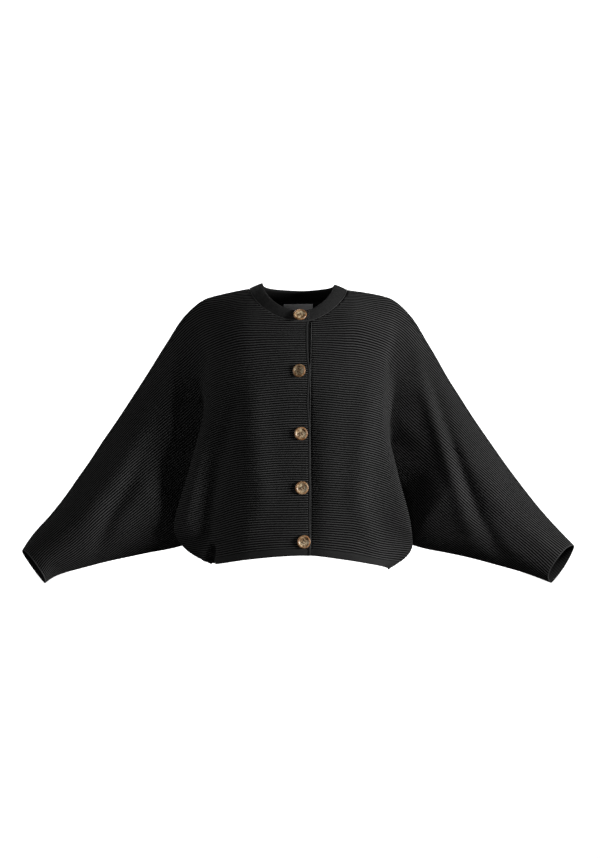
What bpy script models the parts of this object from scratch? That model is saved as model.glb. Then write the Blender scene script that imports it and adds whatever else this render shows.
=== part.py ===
"""Batwing cardigan in black ribbed knit, filled out as it is worn.

The fronts and the back are knitted flat, each in one with its half of the sleeves, and the ribs
run from the middle of the body out to the cuffs.  A point on a panel is named by two lengths on
the flat knit: along, the way out from the middle along a rib, and rib height, the way up from the
hem across the ribs.  The sections below say where that point lies on the worn garment.

Frame: metres, +Z up, the front faces -Y.  The origin is between the neck points, on the middle
plane, where the wearer's shoulders hold the cardigan.
"""
import math

import bmesh
import bpy
import numpy as np
from mathutils import Matrix, Vector

MM = 0.001                # lengths below are millimetres
MERGE = 0.05 * MM         # points nearer than this in the world become one

# Flat knit, one half of the garment
HALF_HEM = 224.0          # middle to the side seam along the hem
CUFF_ALONG = 750.0        # middle to the cuff along a rib
CUFF_LOW = 274.0          # rib height where the underarm seam meets the cuff
CUFF_HIGH = 374.0         # rib height where the upper seam meets the cuff
NECK_HALF = 94.0          # middle to the neck point
NECK_POINT = 534.0        # rib height of the neck point
FRONT_NECK = 454.0        # rib height of the front neck at the middle
BACK_NECK = 494.0         # rib height of the back neck at the middle
OVERLAP = 20.0            # each front passes the middle by this much

# Knit
WALL = 2.0                # plain wall between the ribs
RIB = 1.2                 # a rib stands proud by this much
RIB_PITCH = 10.0          # one raised rib here stands for about two of the fine real ones
HEM_BAND = 14.0           # plain band at the hem
SEAM_GAP = 0.3            # air between pieces
LIFT = WALL + RIB + 0.5   # the right front rides over the left front by this much
LIFT_FULL = 24.0          # the lift is whole up to here from the middle
LIFT_END = 60.0           # and gone from here on

# Neckband
BAND_THICK = 2.6
BAND_RISE_FRONT = 24.0    # upward reach of the band at the middle of the front and back
BAND_RISE_SIDE = 11.0     # and at the neck points
BAND_IN_SIDE = 25.0       # inward reach at the neck points
BAND_IN_FRONT = 8.0       # inward reach at the middle
BAND_PROUD = 0.6          # the band's outer face stands this far over the wall between the ribs
BAND_BULGE = 0.12         # share of the thickness by which the outer face bulges
BAND_PROFILE = (          # (share of the reach, share of the thickness in from the outer face)
    (0.0, 0.0),
    (0.5, -BAND_BULGE),
    (1.0, 0.15),
    (1.0, 0.85),
    (0.0, 1.0),
)

# Label
LABEL_WIDTH = 58.0
LABEL_HEIGHT = 24.0
LABEL_THICK = 1.0
LABEL_DEPTH = WALL + 1.4  # it hangs this far inside the back's outer face
LABEL_DROP = 2.0          # its upper edge lies this far below the back neck
LABEL_GRID = (6, 3)       # faces across and up

# Buttons
BUTTON_RADIUS = 12.6
BUTTON_PROFILE = (        # (radius, height over the back), from the middle of the face to the back
    (0.0, 2.4),
    (8.4, 2.6),
    (10.2, 3.9),
    (11.9, 3.6),
    (BUTTON_RADIUS, 2.0),
    (10.6, 0.0),
    (0.0, 0.0),
)
BUTTON_SIDES = 14
HOLE_RADIUS = 1.1
HOLE_OFFSET = 2.3         # each way from the middle
HOLE_SIDES = 8
HOLE_CUT = 12.0           # length of the cutters

# Sections of the front.  Each stands at one place along the ribs and climbs from the hem or the
# underarm seam to the upper seam; its rows are (rib height, outward, forward, upward).
FRONT_SECTIONS = {
    0.0: (    # middle of the front
        (0, 0, 104, -504),
        (87, 0, 108, -418),
        (201, 0, 115, -304),
        (306, 0, 118, -200),
        (393, 0, 104, -114),
        (454, 0, 80, -59),
        (534, 0, 34, 6),
    ),
    95.0: (   # below the neck point
        (0, 93, 95, -507),
        (87, 92, 101, -421),
        (201, 92, 108, -310),
        (306, 92, 112, -207),
        (391, 92, 99, -124),
        (462, 92, 68, -51),
        (534, 94, 0, 0),
    ),
    171.0: (  # side of the body
        (0, 158, 57, -520),
        (87, 164, 70, -439),
        (201, 162, 80, -325),
        (306, 160, 84, -222),
        (391, 164, 70, -141),
        (456, 170, 44, -72),
        (514, 170, 0, -14),
    ),
    224.0: (  # edge of the large fold beside the body
        (0, 166, 0, -519),
        (49, 219, 32, -484),
        (91, 233, 53, -452),
        (201, 204, 59, -344),
        (306, 179, 57, -241),
        (386, 174, 49, -152),
        (446, 189, 32, -93),
        (501, 213, 0, -48),
    ),
    285.0: (  # behind that edge
        (31, 162, 0, -490),
        (114, 176, 28, -428),
        (201, 168, 33, -357),
        (285, 172, 35, -272),
        (342, 181, 36, -213),
        (386, 193, 38, -173),
        (446, 225, 25, -124),
        (486, 250, 0, -99),
    ),
    352.0: (  # bottom of the fold, where the sleeve begins
        (65, 128, 0, -462),
        (90, 128, 12, -442),
        (133, 130, 18, -403),
        (201, 145, 20, -352),
        (285, 179, 28, -289),
        (332, 206, 40, -253),
        (386, 240, 40, -213),
        (428, 265, 27, -182),
        (470, 286, 0, -158),
    ),
    428.0: (  # inner sleeve, its lower part hidden in the fold
        (104, 162, 0, -454),
        (152, 178, 8, -428),
        (201, 197, 11, -398),
        (285, 236, 36, -340),
        (361, 286, 46, -284),
        (408, 310, 28, -249),
        (452, 328, 0, -223),
    ),
    494.0: (  # sleeve at the elbow
        (138, 215, 0, -484),
        (180, 231, 25, -464),
        (228, 255, 44, -429),
        (285, 288, 53, -385),
        (341, 321, 49, -340),
        (389, 345, 31, -307),
        (436, 366, 0, -279),
    ),
    570.0: (  # lower arm
        (177, 287, 0, -500),
        (228, 310, 36, -469),
        (285, 341, 53, -431),
        (323, 364, 49, -402),
        (370, 390, 32, -369),
        (418, 410, 0, -344),
    ),
    665.0: (  # above the cuff
        (226, 385, 0, -523),
        (253, 395, 22, -511),
        (285, 412, 38, -490),
        (323, 435, 42, -464),
        (361, 454, 26, -440),
        (395, 468, 0, -423),
    ),
    750.0: (  # cuff
        (270, 480, 0, -557),
        (291, 485, 18, -549),
        (323, 503, 28, -525),
        (355, 520, 17, -501),
        (374, 525, 0, -494),
    ),
}

# The back differs over the body only; forward is the distance behind the middle plane.
BACK_SECTIONS = {
    0.0: (    # spine
        (0, 0, 98, -504),
        (87, 0, 96, -418),
        (201, 0, 102, -304),
        (306, 0, 114, -200),
        (410, 0, 104, -98),
        (494, 0, 64, -25),
        (534, 0, 34, 6),
    ),
    95.0: (   # shoulder blade
        (0, 93, 90, -507),
        (87, 92, 92, -421),
        (201, 92, 100, -310),
        (306, 92, 112, -207),
        (400, 92, 100, -115),
        (478, 92, 56, -36),
        (534, 94, 0, 0),
    ),
    171.0: FRONT_SECTIONS[171.0],
    224.0: FRONT_SECTIONS[224.0],
    285.0: FRONT_SECTIONS[285.0],
    352.0: FRONT_SECTIONS[352.0],
    428.0: FRONT_SECTIONS[428.0],
    494.0: FRONT_SECTIONS[494.0],
    570.0: FRONT_SECTIONS[570.0],
    665.0: FRONT_SECTIONS[665.0],
    750.0: FRONT_SECTIONS[750.0],
}

# Columns of the mesh along a rib, closer together round the large fold
COLUMNS = (0, 60, 110, 165, 205, 224, 285, 330, 352, 380, 440, 520, 640)
NECK_COLUMNS = (15, 30, 45, 75)     # only in the rows that touch the neck's edge
SEAM_FAR = 40.0           # two more columns follow the seam at these distances along the rib
SEAM_NEAR = 14.0
UPPER_SEAM_FAR = 100.0
UPPER_SEAM_NEAR = 30.0
UPPER_SEAM_BLEND = 40.0   # the distances grow to these over this much rib height above the cuff
LEAST_STEP = 7.0
FLANK_TOP = 110.0         # below this rib height the inner face has a row for every rib
FOLD_VALLEY = 352.0       # the rows keep a point at the bottom of the fold
FOLD_WALL = 0.8           # the wall gains this much deep in the fold, where it doubles back
FOLD_START = 250.0
FOLD_END = 410.0
FOLD_PLAIN_START = 300.0  # where the two layers in the fold face each other, there are no ribs
FOLD_PLAIN_END = 420.0
FOLD_PLAIN_TOP = 280.0
SEAM_NOSE = 6.0           # the cloth turns over each seam with at least this radius
ON_SEAM = 0.02            # a point this near to the seam's plane is on the seam
LEAST_MITRE = 0.35        # limits how far a mitred point moves along the seam's plane

# Buttons: name, along from the middle (+ towards the overlap), rib height, turn in degrees
BUTTONS = (
    ("button_1", 3.0, None, 20.0),
    ("button_2", 1.9, 352.0, 62.0),
    ("button_3", 4.9, 233.0, 10.0),
    ("button_4", 6.5, 130.0, 35.0),
    ("button_5", 10.3, 27.5, 50.0),
)


def start_clean():
    """Remove the objects of the open scene."""
    for obj in list(bpy.data.objects):
        bpy.data.objects.remove(obj, do_unlink=True)


def new_collection(name):
    collection = bpy.data.collections.new(name)
    bpy.context.scene.collection.children.link(collection)
    return collection


def make_material(name, colour, roughness, metallic=0.0):
    material = bpy.data.materials.new(name)
    material.use_nodes = True
    shader = material.node_tree.nodes["Principled BSDF"]
    shader.inputs["Base Color"].default_value = (*colour, 1.0)
    shader.inputs["Roughness"].default_value = roughness
    shader.inputs["Metallic"].default_value = metallic
    return material


# ---------------------------------------------------------------- flat knit

def rib_bottom(along):
    """Rib height of the hem or the underarm seam."""
    slope = CUFF_LOW / (CUFF_ALONG - HALF_HEM)
    return np.maximum(0.0, (along - HALF_HEM) * slope)


def rib_top(along):
    """Rib height of the upper seam; over the neck hole it stays at the neck point's."""
    slope = (NECK_POINT - CUFF_HIGH) / (CUFF_ALONG - NECK_HALF)
    return NECK_POINT - np.maximum(0.0, along - NECK_HALF) * slope


def rib_outer_end(height):
    """Where the rib at this height ends: at the underarm seam, the cuff or the upper seam."""
    if height <= CUFF_LOW:
        return HALF_HEM + height * (CUFF_ALONG - HALF_HEM) / CUFF_LOW
    if height <= CUFF_HIGH:
        return CUFF_ALONG
    return NECK_HALF + (NECK_POINT - height) * (CUFF_ALONG - NECK_HALF) / (NECK_POINT - CUFF_HIGH)


def rib_inner_end(height, neck_low, edge):
    """Where the rib begins: at the front edge or middle, or at the neck."""
    if height <= neck_low:
        return edge
    drop = (NECK_POINT - height) / (NECK_POINT - neck_low)
    return NECK_HALF * math.sqrt(max(0.0, 1.0 - drop * drop))


def neck_height(along, neck_low):
    """Rib height of the neck's edge at this distance from the middle."""
    return NECK_POINT - (NECK_POINT - neck_low) * math.sqrt(1.0 - (along / NECK_HALF) ** 2)


def rib_relief(along, height):
    """How far the ribs stand out; the hem band and the hidden bottom of the fold are plain."""
    phase = ((height - HEM_BAND) / RIB_PITCH) % 1.0
    hidden = (along > FOLD_PLAIN_START) & (along < FOLD_PLAIN_END) & (height < FOLD_PLAIN_TOP)
    plain = hidden | (height <= HEM_BAND)
    return np.where(plain, 0.0, RIB * (1.0 - np.abs(2.0 * phase - 1.0)))


# ---------------------------------------------------------------- worn form

def smooth_tangents(knots, values):
    """Tangents of a smooth curve through the values that never overshoots them."""
    step = np.diff(knots)[:, None]
    rise = np.diff(values, axis=-2) / step
    before, after = rise[..., :-1, :], rise[..., 1:, :]
    weight_before = step[:-1] + 2.0 * step[1:]
    weight_after = 2.0 * step[:-1] + step[1:]
    same_way = before * after > 0.0
    safe_before = np.where(same_way, before, 1.0)
    safe_after = np.where(same_way, after, 1.0)
    mean = (weight_before + weight_after) / (weight_before / safe_before + weight_after / safe_after)
    inner = np.where(same_way, mean, 0.0)
    first = 2.0 * rise[..., :1, :] - inner[..., :1, :]
    last = 2.0 * rise[..., -1:, :] - inner[..., -1:, :]
    return np.concatenate([first, inner, last], axis=-2)


def smooth_curve(knots, values, tangents, at):
    """Value of the curve at each place; values may hold one curve, or one for each place."""
    span = np.clip(np.searchsorted(knots, at, side="right") - 1, 0, len(knots) - 2)
    width = knots[span + 1] - knots[span]
    t = ((at - knots[span]) / width)[:, None]
    width = width[:, None]
    if values.ndim == 3:
        row = np.arange(len(at))
        first, second = values[row, span], values[row, span + 1]
        leave, arrive = tangents[row, span], tangents[row, span + 1]
    else:
        first, second = values[span], values[span + 1]
        leave, arrive = tangents[span], tangents[span + 1]
    return (
        first * (1.0 + 2.0 * t) * (1.0 - t) ** 2
        + leave * width * t * (1.0 - t) ** 2
        + second * t * t * (3.0 - 2.0 * t)
        + arrive * width * t * t * (t - 1.0)
    )


class Drape:
    """Where the points of one flat panel lie on the worn garment, as (outward, forward, upward)."""

    def __init__(self, sections, facing, lifted=False):
        self.facing = facing
        self.lifted = lifted
        self.places = np.array(sorted(sections))
        self.curves = []
        for place in self.places:
            rows = np.array(sections[place], dtype=float)
            heights = rows[:, 0]
            share = (heights - heights[0]) / (heights[-1] - heights[0])
            self.curves.append((share, rows[:, 1:], smooth_tangents(share, rows[:, 1:])))

    def surface(self, along, height):
        """Points of the smooth surface, without ribs."""
        low, high = rib_bottom(np.abs(along)), rib_top(np.abs(along))
        share = np.clip((height - low) / (high - low), 0.0, 1.0)
        net = np.stack([smooth_curve(*curve, share) for curve in self.curves], axis=1)
        other_half = net[:, 1:2] * np.array((-1.0, 1.0, 1.0))
        net = np.concatenate([other_half, net], axis=1)
        places = np.concatenate([-self.places[1:2], self.places])
        points = smooth_curve(places, net, smooth_tangents(places, net), np.abs(along))
        above = np.where(np.abs(along) > HALF_HEM - 1e-6, height - low, 0.0)
        below = np.where(np.abs(along) > NECK_HALF - 1e-6, high - height, SEAM_NOSE)
        from_seam = np.clip(np.minimum(above, below), 0.0, SEAM_NOSE)
        nose = np.sqrt(from_seam * (2.0 * SEAM_NOSE - from_seam))
        points[:, 1] = np.maximum(points[:, 1], nose)
        points[:, 0] *= np.where(along < 0.0, -1.0, 1.0)
        points[:, 1] *= self.facing
        return points

    def normals(self, along, height):
        """Directions out of the garment."""
        step = 1.0
        low, high = rib_bottom(np.abs(along)), rib_top(np.abs(along))
        inside = np.clip(height, low + step, high - step)
        beyond = np.minimum(along + step, CUFF_ALONG)
        across = self.surface(beyond, inside) - self.surface(beyond - 2.0 * step, inside)
        up = self.surface(along, inside + step) - self.surface(along, inside - step)
        normal = np.cross(up, across) * self.facing
        return normal / np.linalg.norm(normal, axis=1)[:, None]

    def points(self, along, height, out):
        """Points set out from the surface; on a seam they stay on the seam's own plane."""
        along = np.asarray(along, dtype=float)
        height = np.asarray(height, dtype=float)
        base = self.surface(along, height)
        normal = self.normals(along, height)
        distance = np.full(len(along), 0.0) + out
        if self.lifted:
            fade = np.clip((LIFT_END - along) / (LIFT_END - LIFT_FULL), 0.0, 1.0)
            distance = distance + LIFT * fade * fade * (3.0 - 2.0 * fade)
        on_seam = np.abs(base[:, 1]) < ON_SEAM
        flat = normal.copy()
        flat[:, 1] = 0.0
        length = np.maximum(np.linalg.norm(flat, axis=1), 1e-3)[:, None]
        mitre = flat / length / np.maximum(length, LEAST_MITRE)
        moved = base + np.where(on_seam[:, None], mitre, normal) * distance[:, None]
        moved[:, 1] += np.where(on_seam, 0.5 * SEAM_GAP * self.facing, 0.0)
        return moved


def to_world(point, side):
    """World position in metres of (outward, forward, upward); side is -1 for the wearer's right."""
    return Vector((side * point[0] * MM, -point[1] * MM, point[2] * MM))


# ---------------------------------------------------------------- panels

def row_heights(neck_low):
    """Rib heights of the outer rows, and which of them the plain inner face keeps."""
    ribs = int(round((NECK_POINT - HEM_BAND) / RIB_PITCH))
    outer = [0.0] + [HEM_BAND + 0.5 * RIB_PITCH * k for k in range(2 * ribs + 1)]
    neck = [neck_height(along, neck_low) for along in NECK_COLUMNS[:2]]
    outer = sorted(outer + neck)
    inner = []
    for height in outer:
        whole = (height - HEM_BAND) / (2.0 * RIB_PITCH)
        if height == 0.0 or height >= neck_low or abs(whole - round(whole)) < 1e-6:
            inner.append(height)
        elif height < FLANK_TOP and abs(2.0 * whole - round(2.0 * whole)) < 1e-6:
            inner.append(height)
    return outer, inner


def row_places(start, end, height, columns):
    """Places of one row's points: the fixed columns, then two that follow the seam, then its end."""
    length = end - start
    upper = min(1.0, max(0.0, (height - CUFF_HIGH) / UPPER_SEAM_BLEND))
    far = SEAM_FAR + (UPPER_SEAM_FAR - SEAM_FAR) * upper
    near = SEAM_NEAR + (UPPER_SEAM_NEAR - SEAM_NEAR) * upper
    far = far if far < 0.7 * length else 0.0
    near = near if near < 0.5 * length else 0.0
    limit = end - max(far, near)
    last = end - near
    if height < CUFF_LOW and limit - LEAST_STEP < FOLD_VALLEY < last - LEAST_STEP:
        limit = FOLD_VALLEY
    elif height < CUFF_LOW and last - LEAST_STEP <= FOLD_VALLEY < end - LEAST_STEP:
        last = FOLD_VALLEY
    row = []
    for column in columns:
        along = min(max(column, start), limit)
        if along - start < LEAST_STEP:
            along = start
        elif limit - along < LEAST_STEP * (1.0 + upper):
            along = limit
        row.append(along)
    return row + [limit, last, end]


def face_grid(heights, columns, neck_low, edge):
    """Points of one face of a panel as rows of (along, height), with its ends on the true edges."""
    rows = []
    for height in heights:
        start, end = rib_inner_end(height, neck_low, edge), rib_outer_end(height)
        if height < neck_low:
            kept = [column for column in columns if column not in NECK_COLUMNS]
        else:
            kept = columns
        nearest = [min(kept, key=lambda known: abs(known - column)) for column in columns]
        places = row_places(start, end, height, nearest)
        rows.append([(round(along, 6), height) for along in places])
    return rows


def add_face(mesh, corners, flip):
    """Add a face between its different corners, and nothing where it has shrunk to a line."""
    ring = []
    for corner in corners:
        if corner not in ring:
            ring.append(corner)
    if len(ring) > 2:
        mesh.faces.new(reversed(ring) if flip else ring)


def add_strip(mesh, outer, inner, flip):
    """Close the edge between the outer and inner faces; both lists hold (mark, vertex) in order."""
    i = j = 0
    while i + 1 < len(outer) or j + 1 < len(inner):
        next_outer = outer[i + 1][0] if i + 1 < len(outer) else math.inf
        next_inner = inner[j + 1][0] if j + 1 < len(inner) else math.inf
        if (outer[i][0], next_outer) == (inner[j][0], next_inner):
            corners = (outer[i][1], outer[i + 1][1], inner[j + 1][1], inner[j][1])
            i, j = i + 1, j + 1
        elif next_outer <= 0.5 * (inner[j][0] + next_inner):
            corners = (outer[i][1], outer[i + 1][1], inner[j][1])
            i += 1
        else:
            corners = (outer[i][1], inner[j + 1][1], inner[j][1])
            j += 1
        add_face(mesh, corners, flip)


def make_panel(name, drape, side, neck_low, edge, collection, material):
    """One half panel: ribbed outer face, plain inner face and the edges between them."""
    mesh = bmesh.new()
    lift_edge = (LIFT_FULL,) if edge < 0.0 else ()
    columns = [edge] + sorted(c for c in COLUMNS + NECK_COLUMNS + lift_edge if c > edge)
    outer_heights, inner_heights = row_heights(neck_low)
    flip = side * drape.facing < 0.0
    faces = []
    for heights, inward in ((outer_heights, False), (inner_heights, True)):
        grid = face_grid(heights, columns, neck_low, edge)
        keys = sorted({key for row in grid for key in row})
        along = np.array([key[0] for key in keys])
        height = np.array([key[1] for key in keys])
        in_fold = (along > FOLD_START) & (along < FOLD_END) & (height < CUFF_HIGH)
        wall = WALL + np.where(in_fold, FOLD_WALL, 0.0)
        out = -wall if inward else rib_relief(along, height)
        points = drape.points(along, height, out)
        vertices = {key: mesh.verts.new(to_world(point, side)) for key, point in zip(keys, points)}
        for low, high in zip(grid, grid[1:]):
            for k in range(len(low) - 1):
                halves = ((low[k], low[k + 1], high[k]), (low[k + 1], high[k + 1], high[k]))
                for corners in halves:
                    add_face(mesh, [vertices[key] for key in corners], flip != inward)
        faces.append((grid, vertices))
    (outer_grid, outer_at), (inner_grid, inner_at) = faces

    def edge_line(grid, at, end):
        return [(row[end][1], at[row[end]]) for row in grid]

    add_strip(mesh, edge_line(outer_grid, outer_at, -1), edge_line(inner_grid, inner_at, -1), not flip)
    left_outer = edge_line(outer_grid, outer_at, 0)
    left_inner = edge_line(inner_grid, inner_at, 0)
    if edge == 0.0:
        left_outer = [item for item in left_outer if item[0] >= neck_low]
        left_inner = [item for item in left_inner if item[0] >= neck_low]
    add_strip(mesh, left_outer, left_inner, flip)
    hem_outer = [(key[0], outer_at[key]) for key in dict.fromkeys(outer_grid[0])]
    hem_inner = [(key[0], inner_at[key]) for key in dict.fromkeys(inner_grid[0])]
    add_strip(mesh, hem_outer, hem_inner, not flip)

    data = bpy.data.meshes.new(name)
    mesh.to_mesh(data)
    mesh.free()
    obj = bpy.data.objects.new(name, data)
    obj.data.materials.append(material)
    collection.objects.link(obj)
    return obj


def make_back(drape, collection, material):
    """The back is one piece: a half panel, mirrored across the middle plane."""
    obj = make_panel("back", drape, -1.0, BACK_NECK, 0.0, collection, material)
    mirror = obj.modifiers.new("other half", "MIRROR")
    mirror.use_axis = (True, False, False)
    mirror.use_mirror_merge = True
    mirror.merge_threshold = MERGE
    return obj


# ---------------------------------------------------------------- neckband and label

def band_sections(right, left, back):
    """Places of the neckband from its upper end on the right front to its end on the left front."""
    front_heights, _ = row_heights(FRONT_NECK)
    back_heights, _ = row_heights(BACK_NECK)
    front_neck = [h for h in front_heights if h > FRONT_NECK]
    back_neck = [h for h in back_heights if h >= BACK_NECK]
    way_round = [(right, -1.0, -OVERLAP, FRONT_NECK)]
    way_round += [(right, -1.0, rib_inner_end(h, FRONT_NECK, 0.0), h) for h in front_neck]
    way_round += [(back, -1.0, rib_inner_end(h, BACK_NECK, 0.0), h) for h in back_neck[-2::-1]]
    way_round += [(back, 1.0, rib_inner_end(h, BACK_NECK, 0.0), h) for h in back_neck[1:-1]]
    way_round += [(left, 1.0, rib_inner_end(h, FRONT_NECK, 0.0), h) for h in front_neck[::-1]]
    way_round += [(left, 1.0, -OVERLAP, FRONT_NECK)]
    return way_round


def band_reach(along, facing):
    """Direction and length from the band's sewn edge to its free edge."""
    side = min(1.0, max(0.0, along / NECK_HALF))
    middle = math.sqrt(1.0 - side * side)
    inward = -BAND_IN_SIDE * side
    forward = -BAND_IN_FRONT * middle * facing
    upward = BAND_RISE_FRONT * middle * middle + BAND_RISE_SIDE * side * side
    return np.array((inward, forward, upward))


def band_frame(drape, along, height):
    """Sewn edge, its outward direction, the band's reach and the band's outward direction."""
    at, up = np.array([along]), np.array([height])
    base = drape.points(at, up, 0.0)[0]
    sewn = drape.normals(at, up)[0]
    if height >= NECK_POINT:
        base[1] = sewn[1] = 0.0
        sewn = sewn / np.linalg.norm(sewn)
    reach = band_reach(along, drape.facing)
    normal = sewn - reach * sewn.dot(reach) / reach.dot(reach)
    return base, sewn, reach, normal / np.linalg.norm(normal)


def make_neckband(drapes, collection, material):
    """A narrow plain band swept round the neck, its right end over its left end."""
    mesh = bmesh.new()
    rings = []
    for drape, side, along, height in band_sections(*drapes):
        base, sewn, reach, normal = band_frame(drape, along, height)
        apart = reach - sewn * reach.dot(sewn)
        apart = apart * SEAM_GAP / np.linalg.norm(apart)
        ring = []
        for share, depth in BAND_PROFILE:
            out = normal if share > 0.0 else sewn
            point = base + apart + reach * share + out * (BAND_PROUD - BAND_THICK * depth)
            ring.append(mesh.verts.new(to_world(point, side)))
        rings.append(ring)
    for first, second in zip(rings, rings[1:]):
        for k in range(len(first)):
            after = (k + 1) % len(first)
            mesh.faces.new((first[k], second[k], second[after], first[after]))
    mesh.faces.new(rings[0])
    mesh.faces.new(reversed(rings[-1]))
    bmesh.ops.recalc_face_normals(mesh, faces=mesh.faces)
    data = bpy.data.meshes.new("neckband")
    mesh.to_mesh(data)
    mesh.free()
    obj = bpy.data.objects.new("neckband", data)
    obj.data.materials.append(material)
    collection.objects.link(obj)
    return obj


def make_label(back, collection, material):
    """A bare woven label that hangs inside the back, from the lower edge of the neckband."""
    mesh = bmesh.new()
    columns, rows = LABEL_GRID
    top = BACK_NECK - LABEL_DROP
    layers = []
    for clearance in (LABEL_DEPTH, LABEL_DEPTH + LABEL_THICK):
        layer = []
        for j in range(rows + 1):
            for i in range(columns + 1):
                along = LABEL_WIDTH * (i / columns - 0.5)
                height = top - LABEL_HEIGHT * (1.0 - j / rows)
                point = back.points(np.array([along]), np.array([height]), -clearance)[0]
                layer.append(mesh.verts.new(to_world(point, -1.0)))
        layers.append(layer)
    wide = columns + 1
    border = [i for i in range(wide)]
    border += [j * wide + columns for j in range(1, rows + 1)]
    border += [rows * wide + i for i in range(columns - 1, -1, -1)]
    border += [j * wide for j in range(rows - 1, 0, -1)]
    for layer in layers:
        for j in range(rows):
            for i in range(columns):
                at = j * wide + i
                mesh.faces.new((layer[at], layer[at + 1], layer[at + wide + 1], layer[at + wide]))
    for k, at in enumerate(border):
        after = border[(k + 1) % len(border)]
        mesh.faces.new((layers[0][at], layers[0][after], layers[1][after], layers[1][at]))
    bmesh.ops.recalc_face_normals(mesh, faces=mesh.faces)
    data = bpy.data.meshes.new("label")
    mesh.to_mesh(data)
    mesh.free()
    obj = bpy.data.objects.new("label", data)
    obj.data.materials.append(material)
    collection.objects.link(obj)
    return obj


# ---------------------------------------------------------------- buttons

def button_mesh():
    """A turned four-hole button with a raised rim, its back on the plane z = 0."""
    points = [(radius * MM, 0.0, height * MM) for radius, height in BUTTON_PROFILE]
    data = bpy.data.meshes.new("button profile")
    data.from_pydata(points, [(k, k + 1) for k in range(len(points) - 1)], [])
    obj = bpy.data.objects.new("button profile", data)
    screw = obj.modifiers.new("turned", "SCREW")
    screw.steps = screw.render_steps = BUTTON_SIDES
    screw.use_merge_vertices = True
    screw.merge_threshold = MERGE
    return obj


def button_cutter(collection):
    """The four holes."""
    mesh = bmesh.new()
    for k in range(4):
        angle = math.radians(45.0 + 90.0 * k)
        centre = Vector((math.cos(angle), math.sin(angle), 0.0)) * HOLE_OFFSET * math.sqrt(2.0) * MM
        bmesh.ops.create_cone(
            mesh, cap_ends=True, segments=HOLE_SIDES, depth=HOLE_CUT * MM,
            radius1=HOLE_RADIUS * MM, radius2=HOLE_RADIUS * MM,
            matrix=Matrix.Translation(centre),
        )
    data = bpy.data.meshes.new("button holes")
    mesh.to_mesh(data)
    mesh.free()
    obj = bpy.data.objects.new("button holes", data)
    obj.hide_render = True
    obj.display_type = "WIRE"
    collection.objects.link(obj)
    return obj


def button_seat(right, along, height):
    """Centre of a button's back and its axes on the cloth."""
    if height is None:
        base, _, reach, normal = band_frame(right, 0.0, FRONT_NECK)
        out = BAND_PROUD + BAND_BULGE * BAND_THICK + SEAM_GAP
        centre = base + 0.5 * reach + normal * out
        centre[0] = -along
        return centre, normal, reach
    at = np.zeros(3)
    up = height + BUTTON_RADIUS * np.array([-0.5, 0.0, 0.5])
    points = right.points(at, up, RIB + SEAM_GAP)
    normal = right.normals(at[1:2], up[1:2])[0]
    centre = points[1]
    centre[0] = -along
    return centre, normal, points[2] - points[0]


def make_buttons(right, collection, cutters, material):
    turned = button_mesh()
    collection.objects.link(turned)
    holes = button_cutter(cutters)
    cut = turned.modifiers.new("holes", "BOOLEAN")
    cut.object = holes
    depsgraph = bpy.context.evaluated_depsgraph_get()
    shared = bpy.data.meshes.new_from_object(turned.evaluated_get(depsgraph))
    bpy.data.objects.remove(turned, do_unlink=True)
    shared.name = "button"
    shared.materials.clear()
    shared.materials.append(material)
    for name, along, height, turn in BUTTONS:
        centre, normal, up = button_seat(right, along, height)
        z_axis = to_world(normal, -1.0).normalized()
        y_axis = to_world(up, -1.0).normalized()
        x_axis = y_axis.cross(z_axis).normalized()
        y_axis = z_axis.cross(x_axis)
        frame = Matrix((x_axis, y_axis, z_axis)).transposed().to_4x4()
        obj = bpy.data.objects.new(name, shared)
        obj.matrix_world = (
            Matrix.Translation(to_world(centre, -1.0)) @ frame @ Matrix.Rotation(math.radians(turn), 4, "Z")
        )
        collection.objects.link(obj)


start_clean()
parts = new_collection("batwing cardigan")
cutters = new_collection("cutters")
knit = make_material("black rib knit", (0.012, 0.012, 0.013), 0.85)
fine_knit = make_material("black plain knit", (0.014, 0.014, 0.015), 0.85)
woven = make_material("grey woven label", (0.12, 0.12, 0.12), 0.6)
horn = make_material("mottled horn-look resin", (0.42, 0.28, 0.15), 0.25)

right_front = Drape(FRONT_SECTIONS, 1.0, lifted=True)
left_front = Drape(FRONT_SECTIONS, 1.0)
back_panel = Drape(BACK_SECTIONS, -1.0)

make_panel("right_front", right_front, -1.0, FRONT_NECK, -OVERLAP, parts, knit)
make_panel("left_front", left_front, 1.0, FRONT_NECK, -OVERLAP, parts, knit)
make_back(back_panel, parts, knit)
make_neckband((right_front, left_front, back_panel), parts, fine_knit)
make_label(back_panel, parts, woven)
make_buttons(right_front, parts, cutters, horn)
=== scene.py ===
"""Batwing cardigan in black ottoman rib knit, filled out as it is worn."""

import math

import bmesh
import bpy
import numpy as np
from mathutils import Matrix, Vector


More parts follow.
